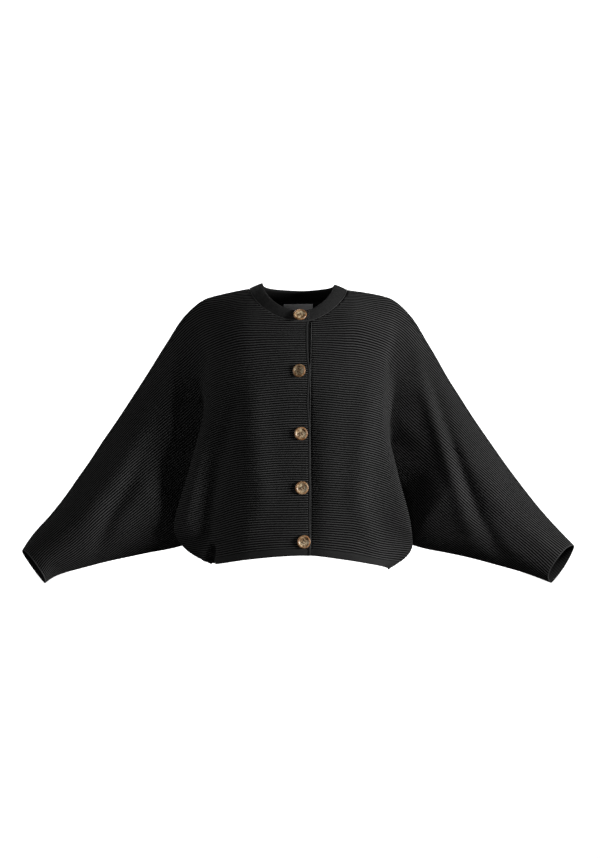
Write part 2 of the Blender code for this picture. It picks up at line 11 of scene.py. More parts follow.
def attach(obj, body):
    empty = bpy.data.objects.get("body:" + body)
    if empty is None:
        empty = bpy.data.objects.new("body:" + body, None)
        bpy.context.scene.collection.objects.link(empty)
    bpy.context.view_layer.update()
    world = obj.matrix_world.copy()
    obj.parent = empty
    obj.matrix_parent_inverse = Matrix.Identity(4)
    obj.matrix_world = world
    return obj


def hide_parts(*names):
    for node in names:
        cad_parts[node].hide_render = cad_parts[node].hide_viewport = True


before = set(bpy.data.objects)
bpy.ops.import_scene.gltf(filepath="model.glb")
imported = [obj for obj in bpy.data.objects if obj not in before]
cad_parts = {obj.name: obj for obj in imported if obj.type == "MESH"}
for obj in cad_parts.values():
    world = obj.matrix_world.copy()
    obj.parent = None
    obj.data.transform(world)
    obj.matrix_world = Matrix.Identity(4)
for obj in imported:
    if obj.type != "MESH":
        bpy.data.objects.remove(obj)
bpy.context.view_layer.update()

# ======================================================================== right front, left front and back
# Each front and the back are knitted flat in one with their half of the sleeves, in a combed cotton
# ottoman rib: round ridges about 4.4 mm apart that run from the middle of the body out to the cuffs.
# The knitter starts at the hem with a plain tubular band, and links the panels together at the seams.

MM = 0.001                  # lengths are millimetres on the knit and on the worn garment
HALF_HEM = 224.0            # middle to the side seam along the hem
CUFF_ALONG = 750.0          # middle to the cuff along a rib
CUFF_LOW = 274.0            # rib height where the underarm seam meets the cuff
CUFF_HIGH = 374.0           # rib height where the upper seam meets the cuff
NECK_HALF = 94.0            # middle to the neck point
NECK_POINT = 534.0          # rib height of the neck point
FRONT_NECK = 454.0
BACK_NECK = 494.0
OVERLAP = 20.0              # each front passes the middle by this much
WALL = 2.0
SOLID_RIB = 1.2             # height of the ribs of the solids, which the lap leaves room for
LIFT = WALL + SOLID_RIB + 0.5    # how far out the right front lies at the lap, over the left front
LIFT_FULL = 24.0            # and where along the ribs this begins to fade, and has faded
LIFT_END = 150.0
SEAM_GAP = 0.3
SEAM_NOSE = 6.0             # the cloth turns over each seam with at least this radius

# Places of the knit on the worn garment: (rib height, outward, forward, upward) at one place along the ribs
FRONT_SECTIONS = {
    0.0: (    # middle of the front
        (0, 0, 104, -504), (87, 0, 108, -418), (201, 0, 115, -304), (306, 0, 118, -200),
        (393, 0, 104, -114), (454, 0, 80, -59), (534, 0, 34, 6),
    ),
    95.0: (   # below the neck point
        (0, 93, 95, -512), (87, 92, 101, -421), (201, 92, 108, -310), (306, 92, 112, -207),
        (391, 92, 99, -124), (462, 92, 68, -51), (534, 94, 0, 0),
    ),
    171.0: (  # side of the body
        (0, 158, 57, -520), (87, 164, 70, -439), (201, 162, 80, -325), (306, 160, 84, -222),
        (391, 164, 70, -141), (456, 170, 44, -72), (514, 170, 0, -14),
    ),
    224.0: (  # edge of the large fold beside the body
        (0, 166, 0, -519), (49, 219, 32, -484), (91, 233, 53, -452), (201, 204, 59, -344),
        (306, 179, 57, -241), (386, 174, 49, -152), (446, 189, 32, -93), (501, 213, 0, -48),
    ),
    285.0: (  # behind that edge
        (31, 162, 0, -490), (114, 176, 28, -428), (201, 168, 33, -357), (285, 172, 35, -272),
        (342, 181, 36, -213), (386, 193, 38, -173), (446, 225, 25, -127), (486, 250, 0, -104),
    ),
    352.0: (  # bottom of the fold, where the sleeve begins
        (65, 128, 0, -462), (90, 128, 12, -442), (133, 130, 18, -403), (201, 145, 20, -352),
        (285, 179, 28, -289), (332, 206, 40, -253), (386, 240, 40, -213), (428, 265, 27, -185),
        (470, 286, 0, -164),
    ),
    428.0: (  # inner sleeve, its lower part hidden in the fold
        (104, 162, 0, -454), (152, 178, 8, -428), (201, 197, 11, -398), (285, 236, 36, -340),
        (361, 286, 46, -284), (408, 310, 28, -252), (452, 328, 0, -229),
    ),
    494.0: (  # sleeve at the elbow
        (138, 215, 0, -484), (180, 231, 25, -464), (228, 255, 44, -429), (285, 288, 53, -385),
        (341, 321, 49, -340), (389, 345, 31, -310), (436, 366, 0, -285),
    ),
    570.0: (  # lower arm
        (177, 287, 0, -500), (228, 310, 36, -469), (285, 341, 53, -431), (323, 364, 49, -402),
        (370, 390, 32, -372), (418, 410, 0, -349),
    ),
    665.0: (  # above the cuff
        (226, 385, 0, -523), (253, 395, 22, -511), (285, 412, 38, -490), (323, 435, 42, -464),
        (361, 454, 26, -440), (395, 468, 0, -425),
    ),
    750.0: (  # cuff
        (270, 480, 0, -557), (291, 485, 18, -549), (323, 503, 28, -525), (355, 520, 17, -501),
        (374, 525, 0, -494),
    ),
}
BACK_SECTIONS = {
    **FRONT_SECTIONS,
    0.0: (    # spine
        (0, 0, 98, -504), (87, 0, 96, -418), (201, 0, 102, -304), (306, 0, 114, -200),
        (410, 0, 104, -98), (494, 0, 64, -25), (534, 0, 34, 6),
    ),
    95.0: (   # shoulder blade
        (0, 93, 90, -507), (87, 92, 92, -421), (201, 92, 100, -310), (306, 92, 112, -207),
        (400, 92, 100, -115), (478, 92, 56, -36), (534, 94, 0, 0),
    ),
}

# The wearer's right sleeve flares a little at its cuff; on the left the cuff sits higher, and the large
# fold beside the body is smaller
RIGHT_CUFF_FLARE = {
    722.0: (
        (259, 456, 0, -542), (281, 463, 20, -530), (311, 476, 33, -512), (342, 492, 27, -490),
        (381, 506, 0, -466),
    ),
}
LEFT_CUFF = {
    750.0: (
        (270, 480, 0, -556), (291, 485, 18, -547), (323, 503, 28, -521), (355, 519, 17, -494),
        (374, 524, 0, -485),
    ),
}
LEFT_FOLD = {
    224.0: (
        (0, 172, 0, -530), (49, 217, 30, -484), (91, 214, 53, -450), (201, 187, 59, -344),
        (306, 167, 57, -241), (386, 169, 49, -152), (446, 189, 32, -93), (501, 213, 0, -48),
    ),
}
LEFT_HEM = {171.0: ((0, 159, 54, -525), *FRONT_SECTIONS[171.0][1:])}

# Soft creases of the worn knit: (side, facing, push out in mm, half width, points (outward, upward));
# side -1 is the wearer's right, facing 1 the front
CREASES = (
    # right front: a broad swell beside the buttons, two hollows and a ridge along the side fold, and a tuck
    # and a small roll at the hem
    (-1, 1, 5.5, 26.0, ((80, -150), (82, -266), (77, -342), (70, -399), (88, -446), (116, -480))),
    (-1, 1, -5.0, 15.0, ((116, -180), (124, -230), (138, -285), (152, -340), (160, -380))),
    (-1, 1, -8.0, 13.0, ((150, -330), (162, -380), (170, -430), (170, -465), (164, -505))),
    (-1, 1, -11.0, 4.8, ((162, -474), (164, -504), (168, -530))),
    (-1, 1, 7.0, 13.0, ((172, -240), (184, -320), (198, -380), (208, -430), (200, -478))),
    (-1, 1, 4.5, 6.0, ((178, -524), (174, -497), (162, -476), (144, -470))),
    # its sleeve: one long ridge with a trough inside it, and a small ridge nearer the body
    (-1, 1, 3.6, 22.0, (
        (284, -250), (306, -300), (336, -345), (374, -395), (402, -442), (432, -488), (464, -528),
    )),
    (-1, 1, 6.0, 15.0, ((234, -130), (238, -200), (244, -260), (250, -310))),
    (-1, 1, -7.5, 16.0, ((292, -310), (304, -350), (326, -388), (350, -428), (368, -466), (384, -500))),
    # left front: a hollow where it slips under the lap, a broad swell, a ridge down to the hem corner
    (1, 1, -6.0, 25.0, ((14, -565), (14, -420), (13, -300), (12, -190))),
    (1, 1, 3.0, 34.0, ((62, -75), (64, -250), (60, -420), (64, -500))),
    (1, 1, 6.0, 19.0, (
        (138, -150), (126, -247), (117, -323), (114, -399), (126, -446), (146, -498), (160, -530),
    )),
    # its sleeve: a narrow ridge from the shoulder to the underarm seam, and a deep trough outside it
    (1, 1, 6.2, 14.0, (
        (222, -95), (232, -140), (243, -175), (256, -225), (269, -266), (292, -342), (314, -412), (334, -476),
    )),
    (1, 1, -9.5, 15.0, (
        (230, -115), (259, -195), (294, -285), (322, -361), (349, -430), (376, -482), (412, -526),
    )),
    (1, 1, 3.5, 20.0, ((352, -330), (378, -390), (410, -440))),
    # back: a soft ridge and a hollow on each sleeve, and on the body a hollow beside the blade and a swell
    (-1, -1, 5.5, 19.0, ((270, -230), (300, -300), (326, -370), (356, -430), (396, -484))),
    (-1, -1, -5.0, 14.0, ((318, -270), (350, -345), (380, -405), (412, -462))),
    (-1, -1, -4.0, 18.0, ((110, -200), (122, -300), (116, -430))),
    (-1, -1, 4.0, 20.0, ((60, -320), (66, -420), (58, -500))),
    (1, -1, 5.5, 19.0, ((262, -210), (292, -290), (322, -366), (356, -430), (392, -480))),
    (1, -1, -4.5, 14.0, ((300, -260), (336, -340), (368, -408), (400, -462))),
    (1, -1, -3.5, 18.0, ((118, -220), (126, -320), (120, -440))),
    (1, -1, 3.5, 20.0, ((48, -300), (56, -400), (66, -505))),
)
CREASE_FADE = 12.0          # creases die out this close to a seam
NECK_SAG = 4.0              # the front of the neck hangs lower by this at the middle
NECK_SAG_HALF = 90.0
NECK_SAG_FROM = -200.0
NECK_SAG_FULL = -70.0
SWAY = 4.5                  # the sleeves hang a little uneven: this much at the elbow
SWAY_FROM = 150.0
SWAY_TO = 525.0
WAVER = 0.8                 # the ribs waver up and down by this, over a few centimetres
ON_SEAM = 0.02
MITRE_LEAST = 0.35          # keeps a seam's mitre under three times the cloth's thickness

RIB_COUNT = 118             # ribs between the hem band and the neck point
HEM_BAND = 14.0
RIB_PITCH = (NECK_POINT - HEM_BAND) / RIB_COUNT
RIB_RELIEF = 1.2
SEAM_FADE = 6.0             # the ribs sink into the linked seams over this distance
HEM_ROWS = ((0.0, -0.9), (0.7, -0.15), (2.0, 0.35), (5.0, 0.45), (9.0, 0.45), (12.0, 0.3), (13.3, -0.3))
FINE_ROWS = (0.0, 0.1, 0.28, 0.5, 0.72, 0.9)    # places of the mesh's rows in one rib
BACK_ROWS = (0.0, 0.16, 0.5, 0.84)
INNER_ROWS = (0.0, 0.5)


def rib_bottom(along):
    """Rib height of the hem or the underarm seam."""
    return np.maximum(0.0, (along - HALF_HEM) * CUFF_LOW / (CUFF_ALONG - HALF_HEM))


def rib_top(along):
    """Rib height of the upper seam."""
    slope = (NECK_POINT - CUFF_HIGH) / (CUFF_ALONG - NECK_HALF)
    return NECK_POINT - np.maximum(0.0, along - NECK_HALF) * slope


def rib_end(height):
    """Where a rib ends: at the underarm seam, the cuff or the upper seam."""
    low = HALF_HEM + height * (CUFF_ALONG - HALF_HEM) / CUFF_LOW
    high = NECK_HALF + (NECK_POINT - height) * (CUFF_ALONG - NECK_HALF) / (NECK_POINT - CUFF_HIGH)
    return np.minimum(np.minimum(low, high), CUFF_ALONG)


def rib_start(height, neck_low, edge):
    """Where a rib begins: at the front edge or the middle, or at the neck."""
    drop = np.clip((NECK_POINT - height) / (NECK_POINT - neck_low), 0.0, 1.0)
    return np.where(height > neck_low, NECK_HALF * np.sqrt(1.0 - drop * drop), edge)


def unit(ways):
    """Directions at length 1."""
    return ways / np.linalg.norm(ways, axis=1)[:, None]


def run_along(line):
    """Distance run along a line of points."""
    return np.concatenate([[0.0], np.cumsum(np.linalg.norm(np.diff(line, axis=0), axis=1))])


def ease(share):
    """A soft rise from 0 to 1."""
    return share * share * (3.0 - 2.0 * share)


def bow(share):
    """0 at both ends and 1 in the middle."""
    return np.sin(np.pi * share) ** 0.7


def smooth_tangents(knots, values):
    """Tangents of a smooth curve through the values that never overshoots them."""
    step = np.diff(knots)[:, None]
    rise = np.diff(values, axis=-2) / step
    before, after = rise[..., :-1, :], rise[..., 1:, :]
    weight_before = step[:-1] + 2.0 * step[1:]
    weight_after = 2.0 * step[:-1] + step[1:]
    same_way = before * after > 0.0
    safe_before = np.where(same_way, before, 1.0)
    safe_after = np.where(same_way, after, 1.0)
    mean = (weight_before + weight_after) / (weight_before / safe_before + weight_after / safe_after)
    inner = np.where(same_way, mean, 0.0)
    first = 2.0 * rise[..., :1, :] - inner[..., :1, :]
    last = 2.0 * rise[..., -1:, :] - inner[..., -1:, :]
    return np.concatenate([first, inner, last], axis=-2)


def smooth_curve(knots, values, tangents, at):
    """Value of the curve at each place; values may hold one curve, or one for each place."""
    span = np.clip(np.searchsorted(knots, at, side="right") - 1, 0, len(knots) - 2)
    width = knots[span + 1] - knots[span]
    t = ((at - knots[span]) / width)[:, None]
    width = width[:, None]
    if values.ndim == 3:
        row = np.arange(len(at))
        first, second = values[row, span], values[row, span + 1]
        leave, arrive = tangents[row, span], tangents[row, span + 1]
    else:
        first, second = values[span], values[span + 1]
        leave, arrive = tangents[span], tangents[span + 1]
    return (
        first * (1.0 + 2.0 * t) * (1.0 - t) ** 2
        + leave * width * t * (1.0 - t) ** 2
        + second * t * t * (3.0 - 2.0 * t)
        + arrive * width * t * t * (t - 1.0)
    )


class Drape:
    """Where the points of one flat panel lie on the worn garment, in world millimetres."""

    def __init__(self, sections, side, facing, lifted=False):
        self.side = side
        self.facing = facing
        self.lifted = lifted
        self.places = np.array(sorted(sections))
        self.curves = []
        for place in self.places:
            rows = np.array(sections[place], dtype=float)
            share = (rows[:, 0] - rows[0, 0]) / (rows[-1, 0] - rows[0, 0])
            self.curves.append((share, rows[:, 1:], smooth_tangents(share, rows[:, 1:])))
        self.turn = np.array((side, -facing, 1.0))    # turns (outward, forward, upward) to the world

    def smooth(self, along, height):
        """Points of the plain surface as (outward, forward, upward)."""
        low, high = rib_bottom(np.abs(along)), rib_top(np.abs(along))
        share = np.clip((height - low) / (high - low), 0.0, 1.0)
        net = np.stack([smooth_curve(*curve, share) for curve in self.curves], axis=1)
        net = np.concatenate([net[:, 1:2] * np.array((-1.0, 1.0, 1.0)), net], axis=1)
        places = np.concatenate([-self.places[1:2], self.places])
        points = smooth_curve(places, net, smooth_tangents(places, net), np.abs(along))
        above = np.where(np.abs(along) > HALF_HEM - 1e-6, height - low, 0.0)
        below = np.where(np.abs(along) > NECK_HALF - 1e-6, high - height, SEAM_NOSE)
        from_seam = np.clip(np.minimum(above, below), 0.0, SEAM_NOSE)
        nose = np.sqrt(from_seam * (2.0 * SEAM_NOSE - from_seam))
        points[:, 1] = np.maximum(points[:, 1], nose)
        points[:, 0] *= np.where(along < 0.0, -1.0, 1.0)
        return points

    def outward(self, along, height):
        """Directions out of the garment, as (outward, forward, upward)."""
        low, high = rib_bottom(np.abs(along)), rib_top(np.abs(along))
        inside = np.clip(height, low + 1.0, high - 1.0)
        beyond = np.minimum(along + 1.0, CUFF_ALONG)
        across = self.smooth(beyond, inside) - self.smooth(beyond - 2.0, inside)
        up = self.smooth(along, inside + 1.0) - self.smooth(along, inside - 1.0)
        return unit(np.cross(up, across))

    def creased(self, points):
        """Push of the soft creases at these points."""
        push = np.zeros(len(points))
        for side, facing, depth, width, line in CREASES:
            if side != self.side or facing != self.facing:
                continue
            line = np.array(line, dtype=float)
            run = run_along(line)
            steps = np.diff(run)
            nearest = np.full(len(points), 1e9)
            where = np.zeros(len(points))
            for k in range(len(steps)):
                way = (line[k + 1] - line[k]) / steps[k]
                from_start = points[:, (0, 2)] - line[k]
                t = np.clip(from_start @ way, 0.0, steps[k])
                far = np.linalg.norm(from_start - t[:, None] * way, axis=1)
                closer = far < nearest
                nearest = np.where(closer, far, nearest)
                where = np.where(closer, run[k] + t, where)
            push += depth * bow(np.clip(where / run[-1], 0.02, 0.98)) * np.exp(-((nearest / width) ** 2))
        return push

    def points(self, along, height, out):
        """World points in millimetres, set out from the surface; a point on a seam stays on it."""
        along = np.asarray(along, dtype=float)
        height = np.asarray(height, dtype=float)
        base = self.smooth(along, height)
        normal = self.outward(along, height)
        from_seam = np.clip(np.abs(base[:, 1]) / CREASE_FADE, 0.0, 1.0)
        distance = np.zeros(len(along)) + out + self.creased(base) * from_seam
        if self.lifted:
            distance = distance + LIFT * ease(np.clip((LIFT_END - along) / (LIFT_END - LIFT_FULL), 0.0, 1.0))
        on_seam = np.abs(base[:, 1]) < ON_SEAM
        flat = normal * np.array((1.0, 0.0, 1.0))
        length = np.maximum(np.linalg.norm(flat, axis=1), 1e-3)[:, None]
        mitre = flat / length / np.maximum(length, MITRE_LEAST)
        moved = base + np.where(on_seam[:, None], mitre, normal) * distance[:, None]
        moved[:, 1] += np.where(on_seam, 0.5 * SEAM_GAP, 0.0)
        down_sleeve = np.clip((base[:, 0] - SWAY_FROM) / (SWAY_TO - SWAY_FROM), 0.0, 1.0)
        moved[:, 0] -= self.side * SWAY * np.sin(np.pi * down_sleeve) ** 2
        if self.facing > 0.0:
            across = np.clip(1.0 - (base[:, 0] / NECK_SAG_HALF) ** 2, 0.0, 1.0)
            upward = np.clip((base[:, 2] - NECK_SAG_FROM) / (NECK_SAG_FULL - NECK_SAG_FROM), 0.0, 1.0)
            moved[:, 2] -= NECK_SAG * across * across * upward
        world = moved * self.turn
        x, z = world[:, 0], world[:, 2]
        across = np.sin(x / 31.0 + 2.1 * np.sin(z / 53.0) + 0.7)
        world[:, 2] += WAVER * across * np.sin(z / 41.0 + 1.9 * np.sin(x / 67.0))
        return world


def rib_rows(rows_in_rib):
    """Rib heights of the mesh's rows, and how far the knit stands out there."""
    heights = [height for height, _ in HEM_ROWS]
    relief = [out for _, out in HEM_ROWS]
    for rib in range(RIB_COUNT):
        for place in rows_in_rib:
            heights.append(HEM_BAND + RIB_PITCH * (rib + place))
            relief.append(RIB_RELIEF * math.sqrt(math.sin(math.pi * place)) if place else 0.0)
    return np.array(heights + [NECK_POINT]), np.array(relief + [0.0])


def knit_grid(heights, columns, neck_low, edge):
    """Places along each row, and for each of them the number of the point that stands there."""
    start = rib_start(heights, neck_low, edge)[:, None]
    end = rib_end(heights)[:, None]
    along = np.clip(columns[None, :], start, end)
    number = np.arange(along.size).reshape(along.shape)
    first = np.maximum(np.sum(columns[None, :] <= start, axis=1) - 1, 0)
    last = np.minimum(np.sum(columns[None, :] < end, axis=1), along.shape[1] - 1)
    column = np.clip(np.arange(along.shape[1])[None, :], first[:, None], last[:, None])
    return along, np.take_along_axis(number, column, axis=1)


def grid_faces(number, flip):
    """Faces between the rows, without those that have shrunk to a line."""
    corners = (number[:-1, :-1], number[:-1, 1:], number[1:, 1:], number[1:, :-1])
    faces = []
    for ring in np.stack([c.ravel() for c in corners], axis=1).tolist():
        ring = list(dict.fromkeys(ring))
        if len(ring) > 2:
            faces.append(ring[::-1] if flip else ring)
    return faces


def rim_faces(outer, inner, flip):
    """Faces that close the edge of the cloth; both lists hold (mark, point number) in order."""
    faces = []
    i = j = 0
    while i + 1 < len(outer) or j + 1 < len(inner):
        next_outer = outer[i + 1][0] if i + 1 < len(outer) else math.inf
        next_inner = inner[j + 1][0] if j + 1 < len(inner) else math.inf
        if next_outer <= 0.5 * (inner[j][0] + next_inner):
            ring = [outer[i][1], outer[i + 1][1], inner[j][1]]
            i += 1
        else:
            ring = [outer[i][1], inner[j + 1][1], inner[j][1]]
            j += 1
        ring = list(dict.fromkeys(ring))
        if len(ring) > 2:
            faces.append(ring[::-1] if flip else ring)
    return faces


FINE_COLUMNS = (            # (from, to, spacing) along the ribs, outside and inside
    (0.0, 150.0, 7.5), (150.0, 228.0, 3.6), (228.0, 300.0, 4.8), (300.0, 400.0, 5.6),
    (400.0, CUFF_ALONG - 6.0, 7.0),
)
INNER_COLUMNS = ((0.0, 196.0, 12.0), (196.0, 400.0, 8.0), (400.0, CUFF_ALONG - 6.0, 12.0))
CUFF_REACH = 90.0           # a cuff's cut fades out over this distance
CUFF_FADE = 3.0             # the ribs sink into the cuff's edge over this distance
SEAM_LEFT = 0.15            # share of the ribs' height left at a seam
PLAIN_LEFT = 0.1            # and on the plain strip under the lap
PLAIN_RISE = 0.2
INNER_SHARE = 0.3           # and on the wrong side


def knit_half(
    drape, neck_low, edge, rows_in_rib, first_point, edge_line=None, plain_to=None, cuff_cut=0.0, step=1.0,
):
    """Points, flat places and faces of one half panel, ribbed outside and shallow inside, and the span of
    its inner faces."""
    turned = drape.side * drape.facing < 0
    fine = [np.arange(first, last, spacing * step) for first, last, spacing in FINE_COLUMNS]
    fine = np.concatenate([np.arange(edge, 0.0, 5.0), *fine, (CUFF_ALONG - 2.0, CUFF_ALONG)])
    if plain_to is not None:
        fine = np.sort(np.concatenate([fine, (plain_to - 0.4, plain_to + 0.4)]))
    coarse = [np.arange(*columns) for columns in INNER_COLUMNS]
    coarse = np.concatenate([np.arange(edge, 0.0, 10.0), *coarse, (CUFF_ALONG,)])
    points, flat, faces, grids = [], [], [], []
    for rows, columns, inward in ((rows_in_rib, fine, False), (INNER_ROWS, coarse, True)):
        heights, relief = rib_rows(rows)
        along, number = knit_grid(heights, columns, neck_low, edge if edge_line is None else edge_line(heights))
        height = np.repeat(heights[:, None], along.shape[1], axis=1)
        out = np.repeat(relief[:, None], along.shape[1], axis=1)
        if plain_to is not None:
            out = np.where((along < plain_to) & (height > HEM_BAND), PLAIN_RISE + PLAIN_LEFT * out, out)
        cuff = np.clip((CUFF_ALONG - along) / CUFF_FADE, 0.0, 1.0)
        from_seam = np.where(along > NECK_HALF, rib_top(along) - height, SEAM_FADE)
        from_seam = np.minimum(from_seam, np.where(along > HALF_HEM, height - rib_bottom(along), SEAM_FADE))
        sunk = SEAM_LEFT + (1.0 - SEAM_LEFT) * np.clip(from_seam / SEAM_FADE, 0.0, 1.0)
        out = np.where(height > HEM_BAND, out * cuff * sunk, out)
        out = -WALL - INNER_SHARE * out if inward else out
        low, high = rib_bottom(along), rib_top(along)
        arc = bow(np.clip((height - low) / (high - low), 0.0, 1.0))
        drawn = along - cuff_cut * arc * ease(np.clip((along - CUFF_ALONG + CUFF_REACH) / CUFF_REACH, 0.0, 1.0))
        used, compact = np.unique(number, return_inverse=True)
        compact = compact.reshape(number.shape) + first_point + sum(len(p) for p in points)
        points.append(drape.points(drawn.ravel(), height.ravel(), out.ravel())[used])
        flat.append(np.stack([along.ravel()[used], height.ravel()[used]], axis=1))
        inside = len(faces)
        faces += grid_faces(compact, turned != inward)
        grids.append((heights, along, compact))
    inside = (inside, len(faces))
    for end, least, flip in ((-1, 0.0, not turned), (0, neck_low if edge == 0.0 else 0.0, turned)):
        outer, inner = ([(h, n) for h, n in zip(heights, number[:, end]) if h >= least]
                        for heights, _, number in grids)
        faces += rim_faces(outer, inner, flip)
    outer, inner = (list(dict.fromkeys(zip(along[0].tolist(), number[0].tolist())))
                    for _, along, number in grids)
    faces += rim_faces(outer, inner, not turned)
    return np.concatenate(points), np.concatenate(flat), faces, inside


def wrong_side_in_painted_shade(piece, spans):
    """Give the inner faces of a knit piece the finish of the knit's wrong side, painted darker as the shade
    inside the garment.
    """
    piece.data.materials.append(inner_knit_in_painted_shade)
    index = np.zeros(len(piece.data.polygons), dtype=np.int32)
    for start, end in spans:
        index[start:end] = 1
    piece.data.polygons.foreach_set("material_index", index)


def place_object(name, data):
    """A new object that holds the data, put into the scene."""
    thing = bpy.data.objects.new(name, data)
    bpy.context.scene.collection.objects.link(thing)
    return thing


def piece_from(name, points, faces, material, flat=None):
    """A smooth-shaded piece from world millimetres, with its flat pattern in metres as its UV map."""
    data = bpy.data.meshes.new(name)
    data.from_pydata((np.asarray(points) * MM).tolist(), [], faces)
    data.shade_smooth()
    if flat is not None:
        corner = np.zeros(len(data.loops), dtype=np.int32)
        data.loops.foreach_get("vertex_index", corner)
        layer = data.uv_layers.new(name="flat")
        layer.data.foreach_set("uv", (flat[corner] * MM).astype(np.float32).ravel())
    data.materials.append(material)
    return place_object(name, data)


def srgb(hex_colour):
    """Linear colour of an sRGB hex value."""
    parts = [int(hex_colour[k:k + 2], 16) / 255.0 for k in (1, 3, 5)]
    linear = [c / 12.92 if c <= 0.04045 else ((c + 0.055) / 1.055) ** 2.4 for c in parts]
    return (*linear, 1.0)


def set_node(material, node, **values):
    """Set a node's own settings by name and its inputs by name or number; a node or socket is linked."""
    for key, value in values.items():
        if hasattr(node, key):
            setattr(node, key, value)
            continue
        socket = node.inputs[int(key[1:]) if key[1:].isdigit() else key.replace("_", " ")]
        value = value.outputs[0] if isinstance(value, bpy.types.Node) else value
        if isinstance(value, bpy.types.NodeSocket):
            material.node_tree.links.new(value, socket)
        else:
            socket.default_value = value
    return node


def add_node(material, kind, **values):
    """Add a shader node with its settings and links."""
    return set_node(material, material.node_tree.nodes.new("ShaderNode" + kind), **values)


def new_material(name):
    """A new material and its shader."""
    material = bpy.data.materials.new(name)
    material.use_nodes = True
    return material, material.node_tree.nodes["Principled BSDF"]


def flat_place(material):
    """The place in the flat pattern in metres, X along the ribs and Y up them."""
    return add_node(material, "SeparateXYZ", Vector=add_node(material, "UVMap", uv_map="flat")).outputs


def thread_rows(material, place, spacing, lean=None):
    """Rows of thread this far apart: 0 between them, 1 along their middle; lean shifts them."""
    wave = add_node(material, "Math", operation="MULTIPLY", i0=place, i1=math.pi / (spacing * MM))
    if lean is not None:
        wave = add_node(material, "Math", operation="MULTIPLY_ADD", i0=lean, i1=1.2, i2=wave)
    wave = add_node(material, "Math", operation="SINE", i0=wave)
    return add_node(material, "Math", operation="ABSOLUTE", i0=wave)


STITCH_WIDE = 1.6           # stitches along the ribs and up them
STITCH_HIGH = 1.1
MATT_COTTON = {"Roughness": 0.9, "Specular_IOR_Level": 0.12, "Sheen_Weight": 0.02, "Sheen_Roughness": 0.4}


def black_ottoman_rib(name, plain_to=-1000.0, groove_shade_colour="#040404", crest_highlight_colour="#474747"):
    """Black cotton rib knit, matt, small stitches 1.6 x 1.1 mm: crests painted lighter as highlight, grooves
    painted near-black as shade, and the plain strip under the lap painted dark as shade.
    """
    material, shader = new_material(name)
    along, height, _ = flat_place(material)
    wale = thread_rows(material, along, STITCH_WIDE)
    row = thread_rows(material, height, STITCH_HIGH)
    stitch = add_node(material, "Math", operation="MULTIPLY", i0=wale, i1=row)
    pitch = RIB_PITCH * MM
    rib = add_node(
        material, "Math", operation="MULTIPLY_ADD", i0=height, i1=1.0 / pitch, i2=-HEM_BAND / RIB_PITCH,
    )
    above_band = add_node(material, "Math", operation="GREATER_THAN", i0=rib, i1=0.0)
    rib = add_node(material, "Math", operation="PINGPONG", i0=rib, i1=0.5)
    # 1 on the crests for the painted highlight, 0 in the grooves for the painted shade
    crest_lit_share = add_node(material, "MapRange", interpolation_type="SMOOTHSTEP", i0=rib, i1=0.2, i2=0.42)
    crest_lit_share = add_node(material, "Mix", Factor=above_band, i2=0.38, i3=crest_lit_share)
    # the plain strip under the lap is painted dark: painted shade under the lap
    past_placket = add_node(material, "Math", operation="GREATER_THAN", i0=along, i1=plain_to * MM)
    crest_lit_share = add_node(material, "Mix", Factor=past_placket, i2=0.2, i3=crest_lit_share)
    # soft patches of tone about 110 mm wide, and fuzz of about 1 mm
    place = add_node(material, "TexCoord").outputs["Object"]
    cloudy = add_node(material, "TexNoise", Vector=place, Scale=9.0, Detail=3.0, Roughness=0.5)
    fuzz = add_node(material, "TexNoise", Vector=place, Scale=900.0, Detail=2.0, Roughness=0.6)
    # painted shade in the grooves and painted highlight on the crests
    groove_shade, top = srgb(groove_shade_colour), srgb(crest_highlight_colour)
    ribbed = add_node(material, "Mix", data_type="RGBA", Factor=crest_lit_share, i6=groove_shade, i7=top).outputs[2]
    tone = add_node(material, "MapRange", i0=cloudy, i1=0.35, i2=0.65, i3=0.92, i4=1.08)
    speck = add_node(material, "MapRange", i0=fuzz, i1=0.3, i2=0.8, i3=0.8, i4=1.25)
    speck = add_node(material, "Math", operation="MULTIPLY", i0=tone, i1=speck)
    colour = add_node(
        material, "Mix", data_type="RGBA", blend_type="MULTIPLY", Factor=1.0, i6=ribbed, i7=speck,
    )
    relief = add_node(material, "Math", operation="MULTIPLY_ADD", i0=fuzz, i1=0.3, i2=stitch)
    bump = add_node(material, "Bump", Strength=0.4, Distance=0.3 * MM, Height=relief)
    set_node(material, shader, Base_Color=colour.outputs[2], Normal=bump, **MATT_COTTON)
    return material


PLACKET = 23.4              # the left front's ribs begin this far out, past a plain strip under the lap, painted dark as shade
EDGE_PLACES = (             # rib height, how far the right front's edge passes the middle; it gapes when worn
    (0, 21.2), (27, 21.6), (78, 21.0), (130, 21.7), (180, 20.8), (233, 21.0), (290, 17.9), (352, 20.2),
    (380, 17.6), (415, 16.4), (440, 16.4), (454, 18.5),
)
RIGHT_CUFF_CUT = 6.5        # the front half of each cuff hangs back by this, so its opening shows
LEFT_CUFF_CUT = 15.0
BACK_CUFF_CUT = -4.5        # and the back half bows out
BACK_STEP = 1.25            # the back's columns stand this much wider apart


def front_edge(height):
    """Place of the right front's edge along the ribs."""
    knots, reach = np.array(EDGE_PLACES, dtype=float).T
    reach = reach[:, None]
    at = np.clip(np.atleast_1d(height), knots[0], knots[-1])
    return -smooth_curve(knots, reach, smooth_tangents(knots, reach), at)[:, 0]


